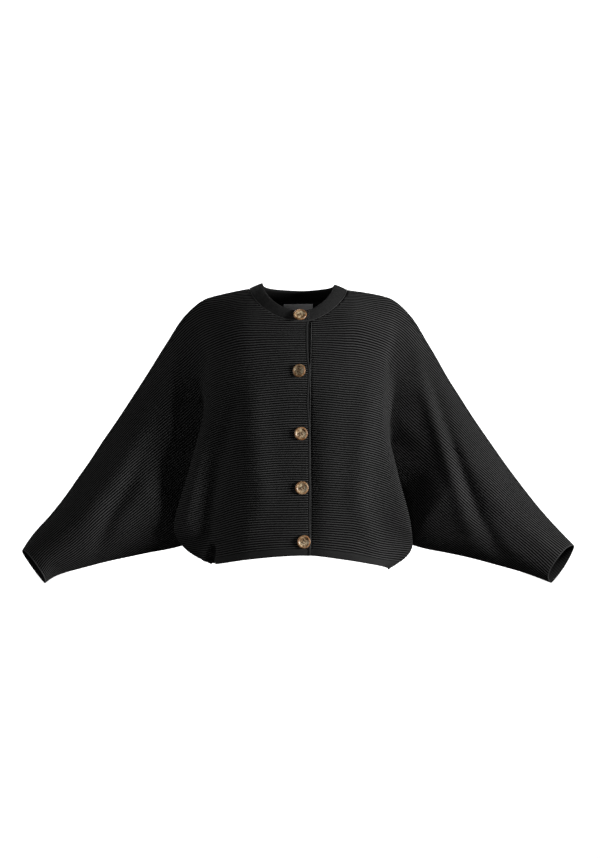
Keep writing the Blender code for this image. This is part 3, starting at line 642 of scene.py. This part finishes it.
rib_knit = black_ottoman_rib("black cotton ottoman rib")
placket_knit = black_ottoman_rib("black cotton ottoman rib with plain placket", PLACKET)
# the wrong side is painted darker: painted shade inside the garment
inner_knit_in_painted_shade = black_ottoman_rib("black cotton ottoman rib, wrong side", -1000.0, "#080808", "#1e1e1e")
drapes = {
    "right_front": Drape({**FRONT_SECTIONS, **RIGHT_CUFF_FLARE}, -1.0, 1.0, True),
    "left_front": Drape({**FRONT_SECTIONS, **LEFT_CUFF, **LEFT_FOLD, **LEFT_HEM}, 1.0, 1.0),
    "back_right": Drape({**BACK_SECTIONS, **RIGHT_CUFF_FLARE}, -1.0, -1.0),
    "back_left": Drape({**BACK_SECTIONS, **LEFT_CUFF, **LEFT_FOLD}, 1.0, -1.0),
}
for name, finish, details in (
    ("right_front", rib_knit, {"edge_line": front_edge, "cuff_cut": RIGHT_CUFF_CUT}),
    ("left_front", placket_knit, {"plain_to": PLACKET, "cuff_cut": LEFT_CUFF_CUT}),
):
    points, flat, faces, inside = knit_half(drapes[name], FRONT_NECK, -OVERLAP, FINE_ROWS, 0, **details)
    piece = piece_from(name + "_knit", points, faces, finish, flat)
    wrong_side_in_painted_shade(piece, [inside])
    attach(piece, "root")
    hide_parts(name)

halves = [[], [], []]
spans = []
for name in ("back_right", "back_left"):
    before = sum(len(p) for p in halves[0])
    points, flat, faces, inside = knit_half(
        drapes[name], BACK_NECK, 0.0, BACK_ROWS, before, cuff_cut=BACK_CUFF_CUT, step=BACK_STEP,
    )
    spans.append((len(halves[2]) + inside[0], len(halves[2]) + inside[1]))
    halves[0].append(points)
    halves[1].append(flat)
    halves[2] += faces
back = piece_from("back_knit", np.concatenate(halves[0]), halves[2], rib_knit, np.concatenate(halves[1]))
wrong_side_in_painted_shade(back, spans)
weld = bmesh.new()
weld.from_mesh(back.data)
middle = [v for v in weld.verts if abs(v.co.x) < 0.01 * MM]
bmesh.ops.remove_doubles(weld, verts=middle, dist=0.02 * MM)
weld.to_mesh(back.data)
weld.free()
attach(back, "root")
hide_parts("back")

# ======================================================================== front edges
# The right front ends in a narrow tubular strip, linked on from neck to hem; on the left front a chain
# of stitches closes the plain strip under the lap, where the ribs begin.


def angles_round(count):
    """Angles spaced evenly round a circle."""
    return np.linspace(0.0, 2.0 * math.pi, count, endpoint=False)


def sweep_rings(rings):
    """Points and faces of a closed solid through rings of equal size."""
    wide = len(rings[0])
    points = np.concatenate(rings)
    faces = []
    for k in range(len(rings) - 1):
        for i in range(wide):
            j = (i + 1) % wide
            faces.append((k * wide + i, (k + 1) * wide + i, (k + 1) * wide + j, k * wide + j))
    faces.append(tuple(range(wide)))
    faces.append(tuple(range(len(points) - 1, len(points) - wide - 1, -1)))
    return points, faces


def face_outward(piece):
    """Turn all faces out."""
    mesh = bmesh.new()
    mesh.from_mesh(piece.data)
    bmesh.ops.recalc_face_normals(mesh, faces=mesh.faces)
    mesh.to_mesh(piece.data)
    mesh.free()


FINE_STITCH_WIDE = 1.3      # of the fine knit, across and up
FINE_STITCH_HIGH = 1.0
FUZZ = 2.0
FOLD_FROM = 26.0            # between these flat heights a folded band turns to its inner layer, painted dark as shade
FOLD_TO = 30.0


def black_fine_knit(name, dark_colour, light_colour):
    """Black fine-gauge plain knit, matt: rows of small V stitches 1.3 mm wide, with painted shade on the inner
    layer of a fold.
    """
    material, shader = new_material(name)
    along, height, _ = flat_place(material)
    wale = thread_rows(material, along, FINE_STITCH_WIDE)
    row = thread_rows(material, height, FINE_STITCH_HIGH, wale)
    stitch = add_node(material, "Math", operation="MULTIPLY", i0=wale, i1=row)
    place = add_node(material, "TexCoord").outputs["Object"]
    fuzz = add_node(material, "TexNoise", Vector=place, Scale=1.0 / (FUZZ * MM), Detail=3.0, Roughness=0.6)
    tone = add_node(material, "MapRange", i0=fuzz, i1=0.3, i2=0.7, i3=0.35)
    # the inner layer of a folded band is painted darker: painted shade inside the fold
    front = add_node(material, "MapRange", i0=height, i1=FOLD_FROM * MM, i2=FOLD_TO * MM, i3=1.0, i4=0.1)
    tone = add_node(material, "Math", operation="MULTIPLY", i0=tone, i1=front)
    dark, light = srgb(dark_colour), srgb(light_colour)
    colour = add_node(material, "Mix", data_type="RGBA", Factor=tone, i6=dark, i7=light)
    bump = add_node(material, "Bump", Strength=0.5, Distance=0.3 * MM, Height=stitch)
    set_node(material, shader, Base_Color=colour.outputs[2], Normal=bump, **MATT_COTTON)
    return material


STRIP_PROFILE = (           # across the strip, out of the cloth
    (-2.3, -0.2), (-2.1, 0.8), (-1.2, 1.5), (0.0, 1.7), (1.2, 1.5), (2.1, 0.7), (2.35, -0.4), (2.1, -1.5),
    (1.2, -2.2), (-1.2, -2.2), (-2.1, -1.5),
)
CHAIN_STITCH = 3.0          # length of one stitch of a coarse chain, and of a fine one
FINE_CHAIN_STITCH = 2.4
PLACKET_CHAIN = 0.95        # radius of the chain on the left front, and of the cuffs' edges
CUFF_CHAIN = 1.1
CHAIN_PROUD = 0.9
CHAIN_WAIST = 0.62          # its radius between two stitches, as a share of its widest
CHAIN_FLAT = 0.8
CHAIN_WANDER = 0.9          # the chain on the left front isn't quite straight
fine_knit = black_fine_knit("black fine plain knit", "#0a0a0a", "#313131")
# the linking yarn is painted lighter: a painted highlight on its raised stitches
highlit_linking_yarn = black_fine_knit("black linking yarn, raised and worn lighter", "#222222", "#525252")


def cloth_frame(drape, along, height, out):
    """Points on the cloth, and its outward directions, in the world."""
    return drape.points(along, height, out), drape.outward(along, height) * drape.turn


heights = np.linspace(0.4, FRONT_NECK - 0.4, 150)
along = front_edge(heights) + 0.5
centres, outward = cloth_frame(drapes["right_front"], along, heights, 0.0)
across = np.cross(unit(np.gradient(centres, axis=0)), outward)
across *= np.sign(across[:, :1])
rings = [centre + np.array([x * flat_way + out * out_way for x, out in STRIP_PROFILE])
         for centre, flat_way, out_way in zip(centres, across, outward)]
points, faces = sweep_rings(rings)
flat = np.array([(h, 2.0 * k) for h in heights for k in range(len(STRIP_PROFILE))])
strip = piece_from("right_front_edge_strip", points, faces, fine_knit, flat)
face_outward(strip)
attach(strip, "root")


def chain_rings(centres, outward, radius, stitch):
    """Rings of a chain of stitches laid on the cloth: a small bead for each stitch."""
    side = np.cross(unit(np.gradient(centres, axis=0)), outward)
    rings = []
    for centre, aside, out_way, at in zip(centres, side, outward, run_along(centres)):
        swell = radius * (CHAIN_WAIST + (1.0 - CHAIN_WAIST) * abs(math.sin(math.pi * at / stitch)))
        rings.append(np.array([centre + swell * (math.cos(a) * aside + CHAIN_FLAT * math.sin(a) * out_way)
                               for a in angles_round(8)]))
    return rings


def chain_piece(name, centres, outward, radius, stitch, yarn=highlit_linking_yarn):
    """Lay a chain of stitches along the centres."""
    points, faces = sweep_rings(chain_rings(centres, outward, radius, stitch))
    chain = piece_from(name, points, faces, yarn, points[:, (0, 2)])
    face_outward(chain)
    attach(chain, "root")


heights = np.arange(HEM_BAND, FRONT_NECK - 1.0, 0.75)
along = PLACKET + CHAIN_WANDER * np.sin(heights / 60.0) + np.clip((heights - 300.0) / 150.0, 0.0, 1.0)
centres, outward = cloth_frame(drapes["left_front"], along, heights, CHAIN_PROUD)
chain_piece("left_front_chain_stitch", centres, outward, PLACKET_CHAIN, CHAIN_STITCH)

for name, cut in (
    ("right_front", RIGHT_CUFF_CUT), ("left_front", LEFT_CUFF_CUT),
    ("back_right", BACK_CUFF_CUT), ("back_left", BACK_CUFF_CUT),
):
    heights = np.arange(CUFF_LOW + 1.5, CUFF_HIGH - 1.5, 0.7)
    arc = bow((heights - CUFF_LOW) / (CUFF_HIGH - CUFF_LOW))
    centres, outward = cloth_frame(drapes[name], CUFF_ALONG - 0.5 - cut * arc, heights, 0.1)
    chain_piece(name + "_cuff_edge", centres, outward, CUFF_CHAIN, FINE_CHAIN_STITCH)

# ======================================================================== seams
# A chain of linking yarn joins front and back along each upper seam, from the neck to the cuff, and
# each underarm seam, from the hem to the cuff. It lies sunk in the joint and closes it.

SEAM_CHAIN = 0.9            # radius of the chain, in the middle of the cloth's thickness
for name, front in (("right", "right_front"), ("left", "left_front")):
    for seam, seam_height, first in (("upper", rib_top, NECK_HALF), ("underarm", rib_bottom, HALF_HEM)):
        along = np.arange(first + 1.0, CUFF_ALONG - 0.5, 1.0)
        centres, outward = cloth_frame(drapes[front], along, seam_height(along), -0.5 * WALL)
        centres[:, 1] = outward[:, 1] = 0.0
        chain_piece(f"{name}_{seam}_seam_chain", centres, unit(outward), SEAM_CHAIN, CHAIN_STITCH, fine_knit)

# ======================================================================== neckband
# A narrow band of fine plain knit, folded double and linked to the neck edge all round, so its free
# edge is a round fold. It stands up and leans in a little; its right end laps over its left end.

BAND_THICK = 2.6
BAND_RISE_FRONT = 21.5      # upward reach of the band at the middle of the front
BAND_RISE_BACK = 24.0
BAND_RISE_SIDE = 11.0
BAND_IN_SIDE = 25.0
BAND_IN_FRONT = 8.0
BAND_PROUD = 0.6
BAND_PROFILE = (            # (share of the reach, share of the thickness in from the outer face)
    (0.0, 0.1), (0.03, 0.32), (0.07, 0.05), (0.14, -0.12), (0.3, -0.2), (0.5, -0.22), (0.7, -0.18),
    (0.86, -0.06), (0.95, 0.12), (0.99, 0.36), (1.0, 0.55), (0.98, 0.76), (0.92, 0.93), (0.75, 1.0),
    (0.4, 1.0), (0.0, 1.0),
)
BAND_FOLD = 11              # the profile's point where the inner layer begins
BAND_WIDE = 24.0
NECK_CHAIN = 0.8            # radius of the chain round the neck, and of the stitches on the band's end
END_STITCHES = 0.75
END_STITCH = 2.2


def neck_edge(drape, along, neck_low):
    """Point of the neck's edge, the cloth's outward way, the band's reach and its outward way."""
    share = min(1.0, max(0.0, along / NECK_HALF))
    height = NECK_POINT - (NECK_POINT - neck_low) * math.sqrt(1.0 - share * share)
    base, cloth_out = (found[0] for found in cloth_frame(drape, np.array([along]), np.array([height]), 0.0))
    if share >= 1.0:
        base[1] = cloth_out[1] = 0.0
        cloth_out /= np.linalg.norm(cloth_out)
    middle = math.sqrt(1.0 - share * share)
    rise = BAND_RISE_FRONT if drape.facing > 0.0 else BAND_RISE_BACK
    upward = rise * middle * middle + BAND_RISE_SIDE * share * share
    reach = np.array((-BAND_IN_SIDE * share, -BAND_IN_FRONT * middle, upward)) * drape.turn
    normal = cloth_out - reach * cloth_out.dot(reach) / reach.dot(reach)
    return base, cloth_out, reach, normal / np.linalg.norm(normal)


def neck_round():
    """Stations round the neck, from the right front's end to the left front's."""
    lap = [-OVERLAP, -15.0, -10.0, -5.0]
    out = [NECK_HALF * math.sin(t) for t in np.radians(np.arange(0.0, 90.1, 2.5))]
    return [neck_edge(drapes[name], along, neck_low) for name, neck_low, places in (
        ("right_front", FRONT_NECK, lap + out), ("back_right", BACK_NECK, out[-2::-1]),
        ("back_left", BACK_NECK, out[1:-1]), ("left_front", FRONT_NECK, (lap + out)[::-1]),
    ) for along in places]


around_neck = neck_round()
rings = []
for base, cloth_out, reach, normal in around_neck:
    apart = reach - cloth_out * reach.dot(cloth_out)
    apart *= SEAM_GAP / np.linalg.norm(apart)
    ring = []
    for share, depth in BAND_PROFILE:
        out = cloth_out * (1.0 - min(1.0, share * 8.0)) + normal * min(1.0, share * 8.0)
        ring.append(base + apart + reach * share + out * (BAND_PROUD - BAND_THICK * depth))
    rings.append(np.array(ring))
run = run_along(np.array([ring[5] for ring in rings]))
across = [BAND_WIDE * (share if k < BAND_FOLD else 2.0 - share) for k, (share, _) in enumerate(BAND_PROFILE)]
flat = np.array([(u, v) for u in run for v in across])
points, faces = sweep_rings(rings)
neckband = piece_from("neckband_knit", points, faces, fine_knit, flat)
face_outward(neckband)
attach(neckband, "root")
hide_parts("neckband")

seam = np.array([base + 0.06 * reach for base, _, reach, _ in around_neck])
seam_run = run_along(seam)
fine_run = np.arange(0.0, seam_run[-1], 0.7)
seam = np.stack([np.interp(fine_run, seam_run, seam[:, k]) for k in range(3)], axis=1)
seam_out = np.array([normal for _, _, _, normal in around_neck])
seam_out = np.stack([np.interp(fine_run, seam_run, seam_out[:, k]) for k in range(3)], axis=1)
chain_piece("neck_linking_chain", seam + CHAIN_PROUD * seam_out, seam_out, NECK_CHAIN, FINE_CHAIN_STITCH)

base, _, reach, normal = around_neck[0]
shares = np.linspace(0.02, 0.98, 40)
end_line = np.array([base + share * reach + 1.1 * normal for share in shares])
end_line[:, 0] += 0.7 * np.sin(shares * 24.0)
chain_piece("neckband_end_stitches", end_line, np.tile(normal, (len(shares), 1)), END_STITCHES, END_STITCH)

# ======================================================================== label
# A bare woven label in grey satin thread, hung from the band's seam at the middle of the back; its
# short ends are folded under.

LABEL_WIDTH = 59.0
LABEL_HEIGHT = 24.0
LABEL_THICK = 1.0
LABEL_DEPTH = WALL + 1.4
LABEL_DROP = -1.5
FLAT_SHIFT = 40.0
WEFT = 0.5                  # spacing of the cross threads, and of the long ones
WARP = 0.7


def grey_woven_satin():
    """Grey polyester satin weave: fine cross threads 0.5 mm apart, a soft sheen along them."""
    material, shader = new_material("grey woven satin")
    along, height, _ = flat_place(material)
    weft = thread_rows(material, height, WEFT)
    warp = add_node(material, "Math", operation="MULTIPLY", i0=along, i1=math.pi / (WARP * MM))
    warp = add_node(material, "Math", operation="SINE", i0=warp)
    weave = add_node(material, "Math", operation="MULTIPLY_ADD", i0=warp, i1=0.3, i2=weft)
    tone = add_node(material, "MapRange", i0=weave, i1=0.0, i2=1.2)
    colour = add_node(material, "Mix", data_type="RGBA", Factor=tone, i6=srgb("#d8d8da"), i7=srgb("#f2f2f4"))
    bump = add_node(material, "Bump", Strength=0.4, Distance=0.2 * MM, Height=weave)
    set_node(material, shader, Base_Color=colour.outputs[2], Normal=bump, Roughness=0.5, Sheen_Weight=0.1)
    return material


def label_layer(depth, columns, rows):
    """Points of one face of the label, in rows from the bottom up."""
    top = BACK_NECK - LABEL_DROP
    places = [(LABEL_WIDTH * (i / columns - 0.5), top - LABEL_HEIGHT * (1.0 - j / rows), i / columns, j / rows)
              for j in range(rows + 1) for i in range(columns + 1)]
    along = np.array([p[0] for p in places])
    height = np.array([p[1] for p in places])
    end = np.array([min(p[2], 1.0 - p[2]) for p in places])
    edge = np.array([min(p[3], 1.0 - p[3]) for p in places])
    # thinner along its edges, and thicker where the ends are folded under
    thin = 0.35 * np.exp(-((end / 0.008) ** 2)) + 0.3 * np.exp(-((edge / 0.02) ** 2))
    swell = 0.25 * np.exp(-(((end - 0.05) / 0.05) ** 2))
    out = -depth + np.where(depth > LABEL_DEPTH, thin - swell, -thin)
    points = drapes["back_left"].points(np.abs(along), height, out)
    points[:, 0] *= np.where(along < 0.0, -1.0, 1.0)
    return points, np.stack([along + FLAT_SHIFT, height - top + FLAT_SHIFT], axis=1)


columns, rows = 56, 18
near, near_flat = label_layer(LABEL_DEPTH, columns, rows)
far, far_flat = label_layer(LABEL_DEPTH + LABEL_THICK, columns, rows)
number = np.arange((columns + 1) * (rows + 1)).reshape(rows + 1, columns + 1)
faces = grid_faces(number, False) + grid_faces(number + number.size, True)
border = list(number[0, :-1]) + list(number[:-1, -1]) + list(number[-1, :0:-1]) + list(number[:0:-1, 0])
for k, at in enumerate(border):
    after = border[(k + 1) % len(border)]
    faces.append((int(at), int(after), int(after + number.size), int(at + number.size)))
flat = np.concatenate([near_flat, far_flat])
label = piece_from("label_woven", np.concatenate([near, far]), faces, grey_woven_satin(), flat)
face_outward(label)
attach(label, "root")
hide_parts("label")

# ======================================================================== buttons
# Five round four-hole buttons turned from cast polyester resin that is mottled like horn, polished
# all over: a raised rim round a shallow dish, sewn on through the holes with tan thread.

BUTTON_RADIUS = 12.6
BUTTON_PROFILE = (          # (radius, height over the back), from the middle of the face to the back
    (0.0, 2.3), (3.0, 2.3), (5.5, 2.4), (7.2, 2.55), (8.2, 2.8), (8.9, 3.25), (9.5, 3.7), (10.2, 3.95),
    (11.0, 3.95), (11.7, 3.7), (12.2, 3.25), (12.5, 2.7), (BUTTON_RADIUS, 2.1), (12.4, 1.4), (11.8, 0.7),
    (10.8, 0.2), (9.6, 0.0), (0.0, 0.0),
)
RIM_FROM = 8.8              # the rim turns brown between these radii
RIM_TO = 10.8
HOLE_RADIUS = 1.1
HOLE_OFFSET = 2.3           # each way from the middle
HOLE_EDGE = 0.12            # width of the holes' worn edges
BUTTONS = (                 # name, out from the middle, rib height, turn, tilt about the upright, tilt back
    ("button_1", 3.0, None, 20.0, 0.0, -16.0),
    ("button_2", 1.9, 352.0, 62.0, -18.0, 0.0),
    ("button_3", 4.9, 233.0, 10.0, 0.0, 0.0),
    ("button_4", 6.5, 130.0, 35.0, 0.0, 0.0),
    ("button_5", 10.3, 27.5, 50.0, 0.0, 0.0),
)


def mottled_horn_resin():
    """Cast polyester like horn, IOR 1.55: cream clouds, brown veins and a brown rim under a soft polish."""
    material, shader = new_material("mottled horn-look resin")
    # clouds about 7 mm wide, and veins about 4 mm apart
    place = add_node(material, "TexCoord").outputs["Object"]
    clouds = add_node(
        material, "TexNoise", Vector=place, Scale=150.0, Detail=3.0, Roughness=0.55, Distortion=1.2,
    )
    veins = add_node(material, "TexNoise", Vector=place, Scale=260.0, Detail=2.0, Distortion=2.0)
    tone = add_node(material, "ValToRGB", Fac=clouds)
    ramp = tone.color_ramp.elements
    ramp[0].position, ramp[0].color = 0.34, srgb("#6c482a")
    ramp[1].position, ramp[1].color = 0.66, srgb("#eedcb6")
    ramp.new(0.47).color = srgb("#bd9c74")
    flat = add_node(material, "UVMap", uv_map="flat")
    radius = add_node(material, "VectorMath", operation="LENGTH", Vector=flat).outputs["Value"]
    rim = add_node(material, "MapRange", i0=radius, i1=RIM_FROM * MM, i2=RIM_TO * MM)
    patch = add_node(material, "MapRange", i0=veins, i1=0.4, i2=0.6, i3=0.95, i4=0.35)
    rim = add_node(material, "Math", operation="MULTIPLY", i0=rim, i1=patch)
    brown = add_node(material, "Mix", data_type="RGBA", Factor=rim, i6=tone, i7=srgb("#965f2e"))
    dark = add_node(material, "MapRange", i0=veins, i1=0.55, i2=0.68, i3=0.0, i4=0.8)
    brown, vein = brown.outputs[2], srgb("#3a2412")
    colour = add_node(material, "Mix", data_type="RGBA", Factor=dark, i6=brown, i7=vein)
    set_node(material, shader, Base_Color=colour.outputs[2], Roughness=0.36, IOR=1.55)
    return material


def turned_button():
    """Mesh of the button, turned, with its four holes."""
    sides = 56
    mesh = bmesh.new()
    rings = []
    for radius, height in BUTTON_PROFILE[1:-1]:
        rings.append([mesh.verts.new((radius * math.cos(a) * MM, radius * math.sin(a) * MM, height * MM))
                      for a in angles_round(sides)])
    for first, second in zip(rings, rings[1:]):
        for k in range(sides):
            mesh.faces.new((first[k], second[k], second[(k + 1) % sides], first[(k + 1) % sides]))
    mesh.faces.new(rings[0])
    mesh.faces.new(list(reversed(rings[-1])))
    bmesh.ops.recalc_face_normals(mesh, faces=mesh.faces)
    data = bpy.data.meshes.new("button")
    mesh.to_mesh(data)
    mesh.free()
    body = place_object("button body", data)
    drill = bmesh.new()
    for k in range(4):
        angle = math.radians(45.0 + 90.0 * k)
        centre = Vector((math.cos(angle), math.sin(angle), 0.0)) * HOLE_OFFSET * math.sqrt(2.0) * MM
        bmesh.ops.create_cone(
            drill, cap_ends=True, segments=20, depth=12.0 * MM, radius1=HOLE_RADIUS * MM,
            radius2=HOLE_RADIUS * MM, matrix=Matrix.Translation(centre),
        )
    drill_data = bpy.data.meshes.new("button holes")
    drill.to_mesh(drill_data)
    drill.free()
    drills = place_object("button holes", drill_data)
    cut = body.modifiers.new("holes", "BOOLEAN")
    cut.object = drills
    soft = body.modifiers.new("worn hole edges", "BEVEL")
    soft.width = HOLE_EDGE * MM
    soft.segments = 2
    soft.limit_method = "ANGLE"
    soft.angle_limit = math.radians(40.0)
    bpy.context.view_layer.update()
    shared = bpy.data.meshes.new_from_object(body.evaluated_get(bpy.context.evaluated_depsgraph_get()))
    for gone in (body, drills):
        bpy.data.objects.remove(gone, do_unlink=True)
    return shared


SHANK = ((0.4, 1.5), (-0.2, 1.6), (-1.0, 1.35), (-2.0, 1.45), (-2.8, 1.35), (-3.7, 1.5))    # (height, radius)
THREAD_WIDE = 0.75          # half width and half height of a stitch through the holes
THREAD_HIGH = 0.5
THREAD_FOOT = 2.05
THREAD_RISE = 1.15


def sewing_thread():
    """Points and faces of the two thick stitches through the holes and of the shank behind them, wound
    round and sunk in the knit, in the button's own millimetres."""
    around = angles_round(12)
    circle = np.stack([np.cos(around), np.sin(around), 0.0 * around], axis=1)
    points, faces = sweep_rings([circle * radius + (0.0, 0.0, z) for z, radius in SHANK])
    points = [points]
    for side in (-1.0, 1.0):
        rings = []
        for t in np.linspace(0.0, 1.0, 9):
            y = HOLE_OFFSET * (2.0 * t - 1.0) * 1.02
            z = THREAD_FOOT + THREAD_RISE * math.sin(math.pi * t) ** 0.6
            slope = THREAD_RISE * math.pi * math.cos(math.pi * t) * 0.5
            lean = math.atan2(slope, 2.0 * HOLE_OFFSET)
            rings.append(np.array([(
                side * HOLE_OFFSET + THREAD_WIDE * math.cos(a),
                y - THREAD_HIGH * math.sin(a) * math.sin(lean), z + THREAD_HIGH * math.sin(a) * math.cos(lean),
            ) for a in angles_round(10)]))
        part_points, part_faces = sweep_rings(rings)
        faces += [tuple(i + sum(len(p) for p in points) for i in face) for face in part_faces]
        points.append(part_points)
    return np.concatenate(points), faces


def button_seat(along, height):
    """Centre of the button's back, and its axes out of the cloth and upward."""
    right = drapes["right_front"]
    if height is None:
        base, _, reach, normal = neck_edge(right, 0.0, FRONT_NECK)
        centre = base + 0.5 * reach + normal * (BAND_PROUD + 0.22 * BAND_THICK + SEAM_GAP)
        up = reach
    else:
        heights = height + BUTTON_RADIUS * np.array([-0.5, 0.0, 0.5])
        places, ways = cloth_frame(right, np.zeros(3), heights, SOLID_RIB + SEAM_GAP)
        centre, normal = places[1], ways[1]
        up = places[2] - places[0]
    centre[0] = along
    return centre, normal, up


resin = mottled_horn_resin()
button_data = turned_button()
button_data.materials.clear()
button_data.materials.append(resin)
turned_flat = button_data.uv_layers.new(name="flat")
for loop in button_data.loops:
    turned_flat.data[loop.index].uv = button_data.vertices[loop.vertex_index].co.xy
tan_thread, thread_shader = new_material("tan polyester sewing thread")
set_node(tan_thread, thread_shader, Base_Color=srgb("#7e6448"), Roughness=0.7)
for name, along, height, turn, yaw, pitch in BUTTONS:
    centre, normal, up = button_seat(along, height)
    z_axis = Vector(normal).normalized()
    x_axis = Vector(up).cross(z_axis).normalized()
    y_axis = z_axis.cross(x_axis)
    seat = Matrix((x_axis, y_axis, z_axis)).transposed().to_4x4()
    turned = Matrix.Rotation(math.radians(yaw), 4, "Y") @ Matrix.Rotation(math.radians(pitch), 4, "X")
    centre = centre + np.array(z_axis) * BUTTON_RADIUS * 0.5 * math.sin(math.radians(abs(yaw) + abs(pitch)))
    place = Matrix.Translation(Vector(centre) * MM) @ seat @ turned
    place = place @ Matrix.Rotation(math.radians(turn), 4, "Z")
    data = button_data.copy()
    data.transform(place)
    button = place_object(name + "_resin", data)
    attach(button, "root")
    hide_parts(name)
    thread_points, thread_faces = sewing_thread()
    thread = piece_from(name + "_thread", thread_points, thread_faces, tan_thread, thread_points[:, :2])
    thread.data.transform(place)
    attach(thread, "root")

# ======================================================================== studio
# A plain pale floor and a white surround that only the camera sees. One broad soft light stands low at
# the wearer's left, a weaker one at the right, a faint one in front and one behind; the camera stands
# level, far off with a long lens.

PHOTO_WIDE = 600.0          # the frame in pixels
PHOTO_HIGH = 858.0
PHOTO_SCALE = 1.9           # millimetres of the garment to one pixel
PHOTO_MIDDLE = 298.4        # pixel column of the middle plane
PHOTO_NECK = 290.0          # pixel row of the neck points
CAMERA_FAR = 20.0
SENSOR = 24.0
view = bpy.data.cameras.new("level view")
view.sensor_fit = "VERTICAL"
view.sensor_height = SENSOR
view.lens = SENSOR * CAMERA_FAR / (PHOTO_HIGH * PHOTO_SCALE * MM)
view.clip_end = 120.0
camera = place_object("level view", view)
across = (0.5 * PHOTO_WIDE - PHOTO_MIDDLE) * PHOTO_SCALE * MM
camera.location = (across, -CAMERA_FAR, (PHOTO_NECK - 0.5 * PHOTO_HIGH) * PHOTO_SCALE * MM)
camera.rotation_euler = (math.radians(90.0), 0.0, 0.0)
bpy.context.scene.camera = camera
bpy.context.scene.view_settings.view_transform = "Standard"

STUDIO_RADIUS = 45000.0
FLOOR = -1150.0
DOME_FOOT = FLOOR - 100.0
WHITE = srgb("#ffffff")
white_paper, paper = new_material("white seamless paper")
PAPER_GRAIN = 25.0          # drawn coarse, so that it can show at all
grain = add_node(white_paper, "TexNoise", Scale=1.0 / (PAPER_GRAIN * MM), Detail=2.0)
fibre = add_node(white_paper, "Bump", Strength=0.02, Distance=1.0 * MM, Height=grain)
set_node(white_paper, paper, Base_Color=srgb("#f7f7f7"), Roughness=0.9, Normal=fibre)
set_node(white_paper, paper, Emission_Color=WHITE, Emission_Strength=0.62)
round_studio = angles_round(64)
floor_points = [(STUDIO_RADIUS * math.cos(a), STUDIO_RADIUS * math.sin(a), FLOOR) for a in round_studio]
floor = piece_from("floor", floor_points, [tuple(range(len(floor_points)))], white_paper)
floor.visible_diffuse = floor.visible_glossy = False

lit_cloth, lit = new_material("white backdrop cloth, lit from behind")
set_node(lit_cloth, lit, Base_Color=WHITE, Emission_Color=WHITE, Emission_Strength=1.0)
dome_rings = [(math.cos(e), math.sin(e)) for e in np.radians(np.arange(0.0, 81.0, 8.0))]
dome_points = [(STUDIO_RADIUS * c * math.cos(a), STUDIO_RADIUS * c * math.sin(a), DOME_FOOT + STUDIO_RADIUS * s)
               for c, s in dome_rings for a in round_studio]
wide = len(round_studio)
dome_faces = [(k * wide + i, k * wide + (i + 1) % wide, (k + 1) * wide + (i + 1) % wide, (k + 1) * wide + i)
              for k in range(len(dome_rings) - 1) for i in range(wide)]
dome_faces.append(tuple(range(len(dome_points) - wide, len(dome_points))))
surround = piece_from("white_surround", dome_points, dome_faces, lit_cloth)
surround.visible_diffuse = surround.visible_glossy = surround.visible_shadow = False
surround.visible_transmission = surround.visible_volume_scatter = False

for name, azimuth, elevation, power, softness in (
    ("key light, wearer's left", 71.0, 5.0, 4.9, 18.0),
    ("fill light, wearer's right", -74.0, 6.0, 0.8, 30.0),
    ("front light", -8.0, 3.0, 0.34, 30.0),
    ("light behind", 200.0, 22.0, 1.6, 30.0),
):
    lamp = bpy.data.lights.new(name, "SUN")
    lamp.energy = power
    lamp.angle = math.radians(softness)
    light = place_object(name, lamp)
    level = math.cos(math.radians(elevation))
    from_way = Vector((
        level * math.sin(math.radians(azimuth)), -level * math.cos(math.radians(azimuth)),
        math.sin(math.radians(elevation)),
    ))
    light.rotation_euler = from_way.to_track_quat("Z", "Y").to_euler()

room = bpy.data.worlds.new("pale room")
room.use_nodes = True
room.node_tree.nodes["Background"].inputs["Color"].default_value = WHITE
room.node_tree.nodes["Background"].inputs["Strength"].default_value = 0.02
bpy.context.scene.world = room
